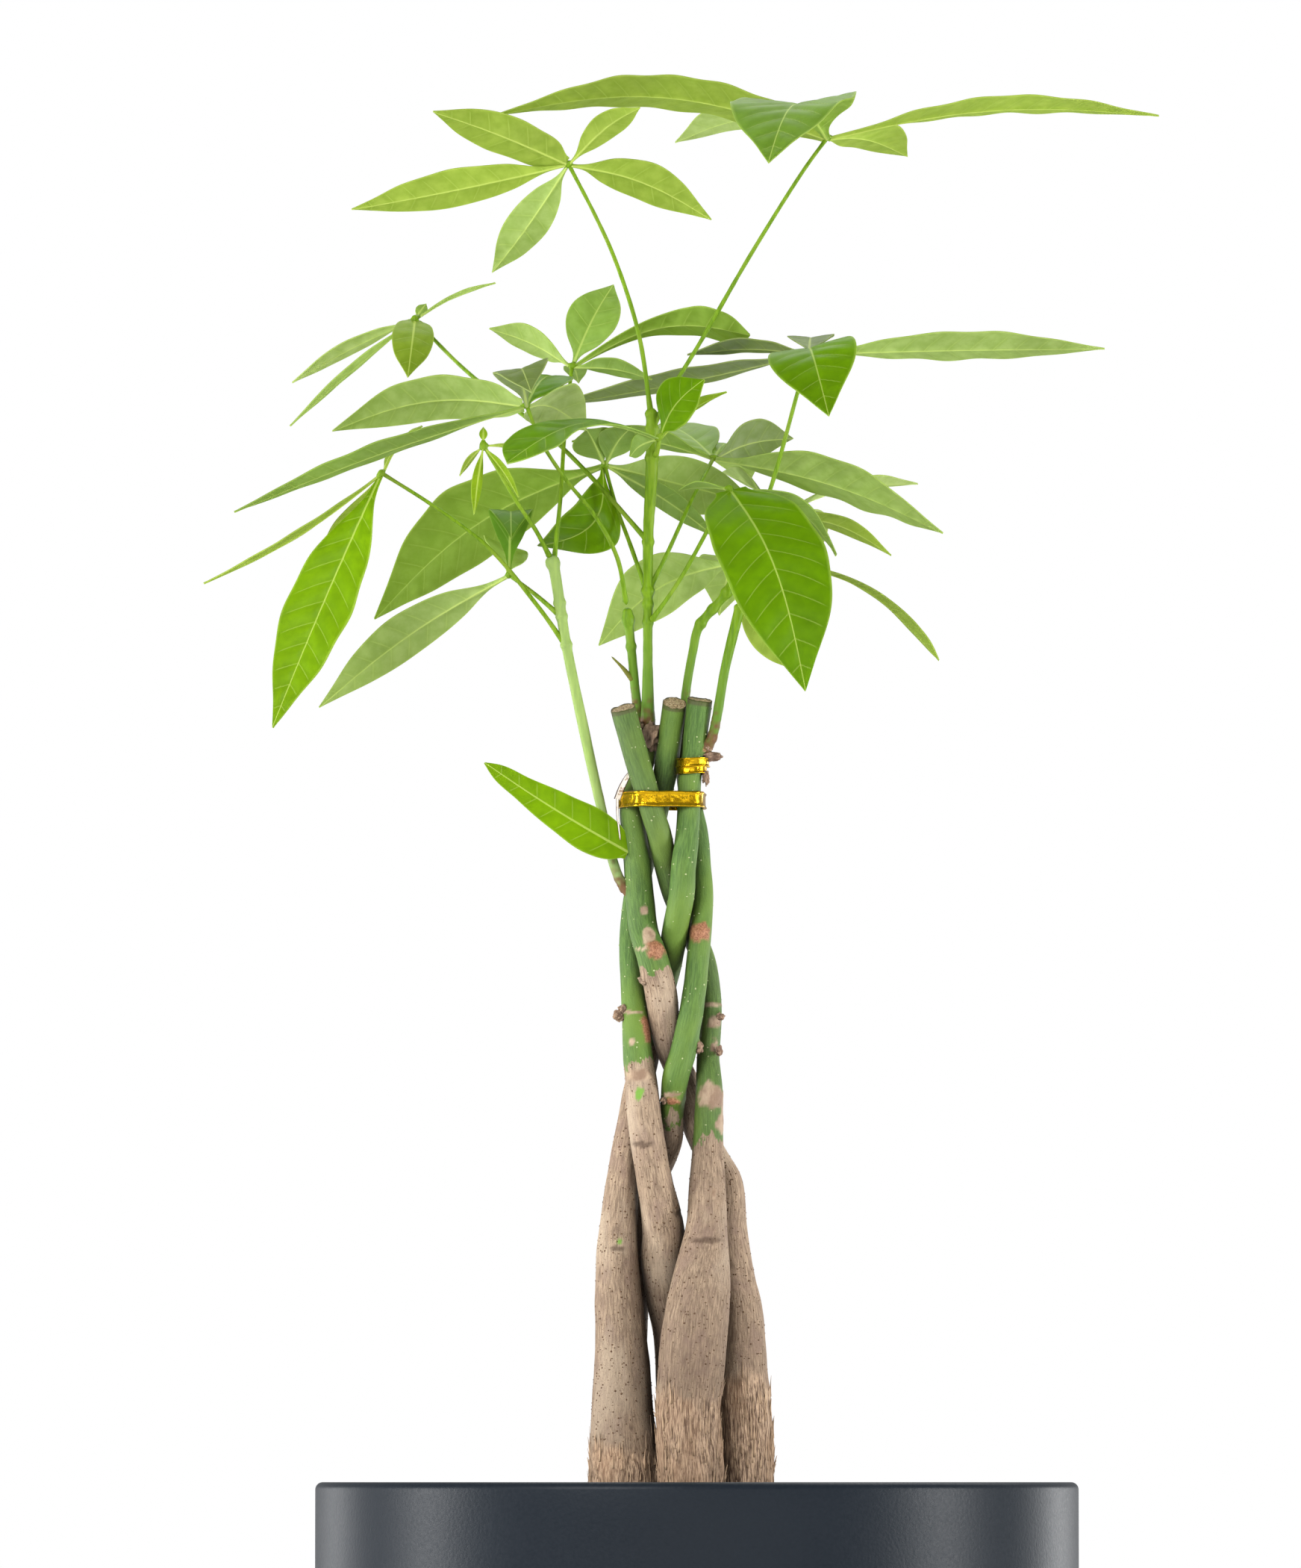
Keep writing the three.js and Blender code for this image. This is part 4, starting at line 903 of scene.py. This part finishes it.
def new_tree(name, **sockets):
    """An empty geometry tree with the named inputs, and geometry as its output."""
    tree = bpy.data.node_groups.new(name, "GeometryNodeTree")
    for label, kind in sockets.items():
        tree.interface.new_socket(label, in_out="INPUT", socket_type="NodeSocket" + kind)
    tree.interface.new_socket("Geometry", in_out="OUTPUT", socket_type="NodeSocketGeometry")
    return tree


def field(tree, name):
    """A number kept at the vertices, for a geometry tree."""
    return put(tree, "GeometryNodeInputNamedAttribute", {"Name": name}, data_type="FLOAT").outputs[0]


def tube_tree():
    """A round stalk swept along a path, as thick as the path says."""
    tree = new_tree("stalk_sweep", Geometry="Geometry", Sides="Int", Finish="Material")
    given = put(tree, "NodeGroupInput").outputs
    curve = put(tree, "GeometryNodeMeshToCurve", {0: given["Geometry"]})
    ring = put(tree, "GeometryNodeCurvePrimitiveCircle", {"Resolution": given["Sides"], "Radius": 1.0})
    swept = put(tree, "GeometryNodeCurveToMesh", {
        "Curve": curve.outputs[0], "Profile Curve": ring.outputs[0], "Scale": field(tree, "radius"),
        "Fill Caps": True})
    whole = put(tree, "GeometryNodeRealizeInstances", {0: swept.outputs[0]})
    dressed = put(tree, "GeometryNodeSetMaterial", {
        "Geometry": whole.outputs[0], "Material": given["Finish"]})
    put(tree, "NodeGroupOutput", {0: dressed.outputs[0]})
    return tree


def run_tree(obj, tree, **sizes):
    """Run a tree on an object and give back its outcome as a plain mesh."""
    modifier = obj.modifiers.new(tree.name, "NODES")
    modifier.node_group = tree
    for item in tree.interface.items_tree:
        if item.item_type == "SOCKET" and item.in_out == "INPUT" and item.name in sizes:
            modifier[item.identifier] = sizes[item.name]
    graph = bpy.context.evaluated_depsgraph_get()
    mesh = bpy.data.meshes.new_from_object(obj.evaluated_get(graph), preserve_all_data_layers=True,
                                           depsgraph=graph)
    obj.modifiers.remove(modifier)
    return mesh


def strew(piece, tree, bits, seed, finish):
    """Set small bits on a piece, all in its one finish, and keep the outcome as its mesh."""
    sizes = dict(bits, Seed=seed, Finish=finish)
    for key in ("Small", "Large"):
        sizes[key] = tuple(v * MM for v in bits[key])
    mesh = run_tree(piece, tree, **sizes)
    mesh.materials.clear()
    mesh.materials.append(finish)
    mesh.polygons.foreach_set("material_index", [0] * len(mesh.polygons))
    piece.data = mesh


def crumb(tree):
    """A lump of soil one unit across."""
    return put(tree, "GeometryNodeMeshUVSphere", {"Segments": 8, "Rings": 5, "Radius": 0.5}).outputs[0]


def bead(tree):
    """A corky dot of radius one."""
    return put(tree, "GeometryNodeMeshIcoSphere", {"Radius": 1.0, "Subdivisions": 1}).outputs[0]


def flake(tree):
    """A strip of torn bark one unit long that tapers and curls away from the surface."""
    cone = put(tree, "GeometryNodeMeshCone", {
        "Vertices": 5, "Side Segments": 4, "Radius Top": 0.08, "Radius Bottom": 0.5, "Depth": 1.0}).outputs[0]
    laid = put(tree, "GeometryNodeTransform", {"Geometry": cone, "Rotation": (-math.pi / 2, 0, 0)}).outputs[0]
    place = put(tree, "GeometryNodeInputPosition").outputs[0]
    ahead = put(tree, "ShaderNodeSeparateXYZ", {0: place}).outputs[1]
    bend = sum_up(tree, "POWER", sum_up(tree, "ABSOLUTE", ahead), 2.0)
    curl = sum_up(tree, "MULTIPLY_ADD", bend, 0.9, -0.1)
    lift = put(tree, "ShaderNodeCombineXYZ", {2: curl}).outputs[0]
    return put(tree, "GeometryNodeSetPosition", {"Geometry": laid, "Offset": lift}).outputs[0]


def strewn_tree(name, bit, mark=None, upright=False):
    """Small solid bits set at random on a surface, thickest where the named attribute is high."""
    tree = new_tree(name, Geometry="Geometry", Density="Float", Where="String", Seed="Int",
                    Small="Vector", Large="Vector", Finish="Material")
    given = put(tree, "NodeGroupInput").outputs
    thick = times(tree, given["Density"], field(tree, given["Where"]))
    spots = put(tree, "GeometryNodeDistributePointsOnFaces", {
        "Mesh": given["Geometry"], "Density": thick, "Seed": given["Seed"]})
    turn = spots.outputs["Rotation"]
    if upright:
        turn = put(tree, "FunctionNodeAlignRotationToVector", {"Rotation": turn, "Vector": (0, 0, 1)},
                   axis="Y", pivot_axis="Z").outputs[0]
    size = put(tree, "FunctionNodeRandomValue", {0: given["Small"], 1: given["Large"], "Seed": given["Seed"]},
               data_type="FLOAT_VECTOR").outputs[0]
    set_down = put(tree, "GeometryNodeInstanceOnPoints", {
        "Points": spots.outputs["Points"], "Instance": bit(tree), "Rotation": turn, "Scale": size}).outputs[0]
    solid = put(tree, "GeometryNodeRealizeInstances", {0: set_down}).outputs[0]
    if mark:
        solid = put(tree, "GeometryNodeStoreNamedAttribute", {"Geometry": solid, "Name": mark, "Value": 1.0},
                    data_type="FLOAT", domain="POINT").outputs[0]
    joined = put(tree, "GeometryNodeJoinGeometry")
    tree.links.new(given["Geometry"], joined.inputs[0])
    tree.links.new(solid, joined.inputs[0])
    smooth = put(tree, "GeometryNodeSetShadeSmooth", {"Geometry": joined.outputs[0]}).outputs[0]
    dressed = put(tree, "GeometryNodeSetMaterial", {"Geometry": smooth, "Material": given["Finish"]})
    put(tree, "NodeGroupOutput", {0: dressed.outputs[0]})
    return tree


# ---- The shoots and petioles ----------------------------------------------------------------

def path_object(middle, radius):
    """A line of edges with its radius kept at every vertex."""
    mesh = bpy.data.meshes.new("path")
    mesh.from_pydata((middle * MM).tolist(), [(i, i + 1) for i in range(len(middle) - 1)], [])
    thick = mesh.attributes.new("radius", "FLOAT", "POINT")
    thick.data.foreach_set("value", (radius * MM).astype(np.float32))
    return into_scene("path", mesh)


def stalk(tree, route, step=1.2, sides=16, rings=(), swell=()):
    """Sweep a stalk. Rings are places of old leaf scars, and swell thickens its two ends."""
    length = sum(math.dist(a[:3], b[:3]) for a, b in zip(route, route[1:]))
    middle, radius, run = smooth_route(route, max(8, int(length / step)))
    for height in rings:
        radius = radius + 0.45 * np.exp(-((middle[:, 2] - height) / 1.1) ** 2)
    if swell:
        radius = radius * (1 + swell[0] * np.exp(-run / 3) + swell[1] * np.exp(-(run[-1] - run) / 2.5))
    radius = radius + 0.05 * noise(middle, 2.5, 14)
    to_end = np.clip(np.minimum(run, run[-1] - run) / np.maximum(radius, 0.3), 0, 1)
    radius = radius * np.maximum(np.sqrt(1 - (1 - to_end) ** 2), 0.2)
    path = path_object(middle, radius)
    mesh = run_tree(path, tree, Sides=sides)
    bpy.data.objects.remove(path)
    places = np.empty(len(mesh.vertices) * 3)
    mesh.vertices.foreach_get("co", places)
    faces = [list(face.vertices) for face in mesh.polygons]
    bpy.data.meshes.remove(mesh)
    return places.reshape(-1, 3) / MM, faces


def hub_blob(hub, arms):
    """The knuckle where the leaflets meet, drawn out a little towards each of them."""
    ways = ball_ways(HUB["sides"], HUB["rows"], HUB["pole"])
    size = np.full(ways.shape[:2], HUB["radius"])
    for arm in arms:
        size += HUB["arm"] * np.exp(9 * (ways @ (np.array(arm) / np.linalg.norm(arm)) - 1))
    return shell_from_rings(np.array(hub) + ways * size[..., None])


# ---- The blades -----------------------------------------------------------------------------

def outline_at(s, table):
    """Half width share along the blade, smooth through the table's points."""
    xs, ys = np.array(table).T
    slope = np.gradient(ys, xs)
    slope[0] = 0
    slope[-1] = (ys[-1] - ys[-2]) / (xs[-1] - xs[-2])
    k = np.clip(np.searchsorted(xs, s, side="right") - 1, 0, len(xs) - 2)
    gap = xs[k + 1] - xs[k]
    return hermite((s - xs[k]) / gap, ys[k], gap * slope[k], ys[k + 1], gap * slope[k + 1])


def both_sides(data):
    """Values of a blade's grid, for its upper side and then for its underside."""
    return np.concatenate([data, data[:, ::-1]], axis=1).ravel()


def blade_grid(length, width, outline):
    """Shares along the blade and across it, and its half width at each row."""
    rows = int(np.clip(length / BLADE["cell"], 18, 90))
    cols = int(np.clip(width / BLADE["cell"], 8, 30)) // 2 * 2
    s = np.linspace(0, 1, rows + 1)[:, None]
    v = np.linspace(-1, 1, cols + 1)[None]
    return s, np.sign(v) * np.abs(v) ** 1.25, np.maximum(outline_at(s, outline) * width / 2, BLADE["tip"])


def blade_level(s, u, half, length, width, arch, draw):
    """Where the side veins lie, and the blade's rise: arch, fold, quilting and wavy margin."""
    out = half * u
    pairs = max(4, round(length / BLADE["vein_gap"]))
    lean = (0.55 * np.abs(out) + 0.012 * out**2) / length
    rank = (s - lean) * (pairs + 1) + 0.03 * np.sin(9 * s + draw.uniform(0, 6))
    rise = np.abs(np.sin(np.pi * rank)) ** 0.7 * np.clip(1 - np.abs(u) ** 3, 0, 1)
    quilt = BLADE["quilt"] * min(1, width / 24) * (rise - 0.5)
    quilt = quilt * np.clip(half / 4, 0, 1) * np.clip(np.abs(out) / 1.5, 0, 1)
    phases = draw.uniform(0, 2 * math.pi, 4)
    wave = np.where(out > 0, np.sin(s * (2 * math.pi * pairs * 0.42) + phases[0]),
                    np.sin(s * (2 * math.pi * pairs * 0.38) + phases[1]))
    wave = BLADE["wave"] * half * (wave + 0.5 * np.sin(s * 23 + phases[2])) * np.abs(u) ** 2.4
    trough = BLADE["trough"] * (np.sqrt(out**2 + 0.8) - 0.9)
    return rank, arch * np.sin(np.pi * s) + trough + quilt + wave


def blade_colour(spots, above, along, tint, seed, draw):
    """Uneven greens, a little darker towards the tip and different from blade to blade."""
    top, under = (np.array(shade(c)) for c in TINTS[tint])
    vary = 0.92 + 0.08 * draw.uniform(-1, 1)
    tone = vary * (1 + 0.13 * noise(spots, 26, seed) + 0.07 * noise(spots, 9, seed))
    tone = tone * (1.06 - 0.14 * along)
    light = np.stack([tone, tone, tone, np.ones_like(tone)], axis=1)
    return np.where(above[:, None] > 0.5, top, under) * light


def blade(shell, foot, reach, width, arch, faces, tint, seed, outline=OUTLINE):
    """One closed, arched blade with a raised midrib, quilting between the side veins and a wavy margin."""
    foot, reach, faces = (np.array(v, float) for v in (foot, reach, faces))
    length = np.linalg.norm(reach)
    line = reach / length
    side = np.cross(faces, line)
    side /= np.linalg.norm(side)
    up = np.cross(line, side)
    draw = np.random.default_rng(SEED * 1000 + seed)
    s, u, half = blade_grid(length, width, outline)
    rank, level = blade_level(s, u, half, length, width, arch, draw)
    out = half * u
    rib = BLADE["rib"] * (1 - 0.75 * s) * np.exp(-(out / (0.75 - 0.35 * s)) ** 2) * min(1, 0.4 + width / 30)
    thin = BLADE["edge"] + (BLADE["thick"] - BLADE["edge"]) * (1 - np.abs(u))
    base = foot + reach * s[..., None] + side * out[..., None]
    upper = base + up * (level + thin / 2 - 0.25 * rib)[..., None]
    lower = base + up * (level - thin / 2 - rib)[..., None]
    rings = np.concatenate([upper, lower[:, ::-1]], axis=1)
    grid = np.ones_like(out)
    lie = np.stack([both_sides(out), both_sides((rank + 0.5) * grid), both_sides(s * grid)], axis=1)
    above = np.concatenate([grid, grid * 0], axis=1).ravel()
    values = {"lie": lie, "edge": both_sides(np.abs(u) * grid), "upper": above,
              "tint": blade_colour(rings.reshape(-1, 3), above, lie[:, 2], tint, seed, draw)}
    shell.add(*shell_from_rings(rings), **{key: with_caps(data) for key, data in values.items()})


def make_leaf(name, number, sweep, finishes):
    """A palmate leaf. A leaflet may say which way it faces and what outline it has."""
    hub, faces, petiole, leaflets = LEAVES[name]
    shell = Shell()
    for k, (reach, width, arch, tint, *own) in enumerate(leaflets):
        facing, outline = own + [faces, OUTLINE][len(own):]
        start = np.array(reach) / np.linalg.norm(reach) * HUB["blade_start"]
        blade(shell, np.array(hub) + start, np.array(reach) - start, width, arch, facing, tint,
              number * 10 + k, outline)
    stops = petiole + [hub]
    sizes = np.linspace(PETIOLE["foot"], PETIOLE["neck"], len(stops))
    route = [(*place, size) for place, size in zip(stops, sizes)]
    shell.add(*stalk(sweep, route, sides=PETIOLE["sides"], swell=PETIOLE["swell"]), 1)
    shell.add(*hub_blob(hub, [leaflet[0] for leaflet in leaflets]), 1)
    settle(shell.piece(name + "_palmate", finishes, BLADE["crease"]), "leaf_blade", name)


def make_basal_leaf(finishes):
    """The single leaflet at the foot of shoot_2."""
    shell = Shell()
    sizes = [BASAL[key] for key in ("foot", "reach", "width", "arch", "faces", "tint")]
    blade(shell, *sizes, BASAL_SEED, BASAL_OUTLINE)
    settle(shell.piece("basal_leaf_blade", finishes, BLADE["crease"]), "leaf_blade", "basal_leaf")


def make_shoot(name, sweep, finish):
    """A shoot with a ring where each petiole leaves it, and a rugged, corky foot."""
    route = [(*place[:3], place[3] * SHOOT_STALK["share"]) for place in SHOOTS[name]]
    joints = [petiole[0][2] for _, _, petiole, _ in LEAVES.values()
              if min(math.dist(petiole[0], place[:3]) for place in route) < SHOOT_STALK["leaf_reach"]]
    places, faces = stalk(sweep, route, SHOOT_STALK["step"], SHOOT_STALK["sides"], joints,
                          SHOOT_STALK["swell"])
    rise = places[:, 2] - route[0][2]
    base = np.clip(1 - (rise - 8) / 40, 0, 1)
    scar = np.clip(1.2 - rise / 11 + 0.7 * noise(places, 1.5, 15), 0, 1)
    rugged = np.stack([noise(places, 1.1, 20 + i) for i in range(3)], axis=1)
    pale = np.full(len(places), PALE_SHOOTS.get(name, 0.0))
    shell = Shell()
    shell.add(places + 0.35 * scar[:, None] * rugged, faces, base=base, scar=scar, pale=pale)
    if name in STIPULES:
        thorn, thorn_faces = stalk(sweep, STIPULES[name], step=0.6, sides=8)
        shell.add(thorn, thorn_faces, scar=np.full(len(thorn), 0.6))
    settle(shell.piece(name + "_green", [finish]), "green_shoot", name)


# ---- The ties -------------------------------------------------------------------------------

def place_at(name, height):
    """Where a stem's middle is at a height, and its radius there."""
    route = np.array(STEMS[name])[::-1]
    return [float(np.interp(height, route[:, 2], route[:, i])) for i in range(4)]


def hull_half(points):
    """One side of the hull of some sorted points."""
    hull = []
    for p in points:
        while len(hull) > 1 and ((hull[-1][0] - hull[-2][0]) * (p[1] - hull[-2][1])
                                 - (hull[-1][1] - hull[-2][1]) * (p[0] - hull[-2][0])) <= 0:
            hull.pop()
        hull.append(p)
    return hull[:-1]


def hull_round(circles, clear):
    """The path of a strap pulled tight round some circles, in even steps."""
    turns = full_turn(48)
    dots = sorted((x + (r + clear) * math.cos(a), y + (r + clear) * math.sin(a))
                  for x, y, _, r in circles for a in turns)
    loop = np.array(hull_half(dots) + hull_half(dots[::-1]))
    loop = np.vstack([loop, loop[:1]])
    run = run_along(loop)
    even = np.linspace(0, run[-1], TIE["steps"], endpoint=False)
    return np.stack([np.interp(even, run, loop[:, i]) for i in range(2)], axis=1)


def foil_band(shell, circles, low, high, clear, lumps):
    """A closed band of foil with a wire in each edge, pulled round some circles."""
    loop = hull_round(circles, clear + TIE["thick"] / 2)
    ahead = np.roll(loop, -1, axis=0) - np.roll(loop, 1, axis=0)
    out = np.stack([ahead[:, 1], -ahead[:, 0]], axis=1) / np.linalg.norm(ahead, axis=1, keepdims=True)
    rows = np.linspace(0, 1, 15)
    lip = TIE["wire"] * (np.exp(-((rows - 0.08) / 0.07) ** 2) + np.exp(-((rows - 0.92) / 0.07) ** 2))
    section = [(TIE["thick"] / 2 + bulge, h) for bulge, h in zip(lip, rows)]
    section += [(-TIE["thick"] / 2, h) for h in rows[::-1]]
    rings = np.array([[(*(spot + way * off), low + h * (high - low)) for off, h in section]
                      for spot, way in zip(loop, out)])
    flat = rings.reshape(-1, 3)
    crumple = lumps * (0.10 * noise(flat, 4.5, 16) + 0.05 * noise(flat, 1.3, 17)).reshape(rings.shape[:2])
    rings[..., :2] += out[:, None] * crumple[..., None]
    rings[..., 2] += lumps * (0.2 * noise(flat * (1, 1, 0), 5, 18)).reshape(rings.shape[:2])
    count, around = rings.shape[:2]
    a = np.arange(count)[:, None] * around + np.arange(around)
    b = np.arange(count)[:, None] * around + (np.arange(around) + 1) % around
    faces = np.stack([a, b, np.roll(b, -1, axis=0), np.roll(a, -1, axis=0)], axis=-1).reshape(-1, 4).tolist()
    shell.add(rings.reshape(-1, 3), faces)


def foil_strip(shell, places, thick):
    """A loose end: a thin strip through the places, as wide as they say, with its inner face to the front."""
    middle, half, _ = smooth_route(places, 40)
    along, _, _ = frames_along(middle)
    side = np.cross(along, (0.25, -1, 0.1))
    side /= np.linalg.norm(side, axis=1, keepdims=True)
    up = np.cross(side, along)
    rings = []
    for u, v in ((-1, -1), (-0.4, -0.6), (0.4, -0.6), (1, -1), (1, 1), (0.4, 0.6), (-0.4, 0.6), (-1, 1)):
        rings.append(middle + side * (half * u)[:, None] + up * (v * thick / 2 + 0.5 * abs(u) * thick))
    # Painted shadow along the strip's edges.
    hem = np.tile([1.0, 0, 0, 1, 1, 0, 0, 1], len(middle))
    shell.add(*shell_from_rings(np.stack(rings, axis=1)), 1, hem=with_caps(hem))


def make_main_tie(finish, back):
    """A crumpled band round all the stems, with its two loose ends."""
    low, high = MAIN_TIE
    circles = [place_at(stem, z) for stem in STEMS for z in np.linspace(low, high, 4)]
    shell = Shell()
    foil_band(shell, circles, low, high, TIE["slack"], LUMPS["main_tie"])
    foil_strip(shell, FLAP, TIE["flap"])
    foil_strip(shell, TAIL, TIE["tail"])
    settle(shell.piece("main_tie_foil", [finish, back]), "gold_tie", "main_tie")


def make_stub_tie(finish):
    """Two lumpy wraps round the right-hand stub, one over the other."""
    shell = Shell()
    for low, high, clear in STUB_WRAPS:
        circles = [place_at("stem_4", z) for z in np.linspace(low, high, 3)]
        foil_band(shell, circles, low, high, clear, LUMPS["stub_tie"])
    settle(shell.piece("stub_tie_foil", [finish]), "gold_tie", "stub_tie")


# ---- Light, floor and camera ----------------------------------------------------------------

def point_at(obj, place, aim):
    """Put a lamp or the camera at a place, facing another one."""
    obj.location = place
    obj.rotation_euler = (Vector(aim) - obj.location).to_track_quat("-Z", "Y").to_euler()


def lamp(name, place, aim, size, power):
    """A rectangular soft light."""
    data = bpy.data.lights.new(name, "AREA")
    data.shape = "RECTANGLE"
    data.size, data.size_y = size
    data.energy = power
    point_at(into_scene(name, data), place, aim)


def make_sky():
    """White to the camera, and dimmer as a light."""
    world = bpy.data.worlds.new("white_studio")
    bpy.context.scene.world = world
    world.use_nodes = True
    tree = world.node_tree
    tree.nodes.clear()
    seen = put(tree, "ShaderNodeLightPath").outputs["Is Camera Ray"]
    strength = put(tree, "ShaderNodeMapRange", {
        "Value": seen, "To Min": SKY["lighting"], "To Max": SKY["seen"]})
    sky = put(tree, "ShaderNodeBackground", {"Color": (1, 1, 1, 1), "Strength": strength.outputs[0]})
    put(tree, "ShaderNodeOutputWorld", {"Surface": sky.outputs[0]})


def make_floor():
    """A pale round floor under the pot."""
    mesh = bpy.data.meshes.new("floor")
    turns = full_turn(FLOOR["sides"])
    ring = [(FLOOR["radius"] * math.cos(a), FLOOR["radius"] * math.sin(a), 0) for a in turns]
    mesh.from_pydata(ring, [], [list(range(FLOOR["sides"]))])
    finish, _, skin, _, _ = new_finish("pale_floor", 0.7)
    skin.inputs["Base Color"].default_value = FLOOR["colour"]
    mesh.materials.append(finish)
    into_scene("floor", mesh)


def make_camera():
    """The camera, with a film and a distance that give the photo's scale."""
    data = bpy.data.cameras.new("camera")
    data.sensor_width = CAMERA["film"]
    data.lens = CAMERA["film"] * CAMERA["distance"] / (PICTURE[1] * METRES_PER_PIXEL)
    obj = into_scene("camera", data)
    place = (CAMERA["middle"], -CAMERA["distance"], CAMERA["height"])
    point_at(obj, place, (CAMERA["middle"], 0, CAMERA["aim"]))
    bpy.context.scene.camera = obj


# ---- Putting the plant together -------------------------------------------------------------

bpy.context.scene.view_settings.view_transform = "Standard"
make_camera()
for label, setting in LAMPS.items():
    lamp(label, *setting)
make_sky()
make_floor()
DOTS = strewn_tree("corky_dots", bead, mark="dot")
FLAKES = strewn_tree("torn_bark", flake, mark="flake", upright=True)
CRUMBS = strewn_tree("soil_crumbs", crumb)
make_pot()
settle(make_soil(damp_soil()), "potting_soil", "soil")
SKIN = stem_skin()
for stem in STEMS:
    settle(make_stem(stem, SKIN), "bark", stem)
SWEEP = tube_tree()
SHOOT = green_shoot()
LEAF = [leaf_blade(), SHOOT]
for shoot in SHOOTS:
    make_shoot(shoot, SWEEP, SHOOT)
for number, leaf in enumerate(LEAVES):
    make_leaf(leaf, number, SWEEP, LEAF)
make_basal_leaf(LEAF)
GOLD = gold_foil()
make_main_tie(GOLD, paper_back())
make_stub_tie(GOLD)
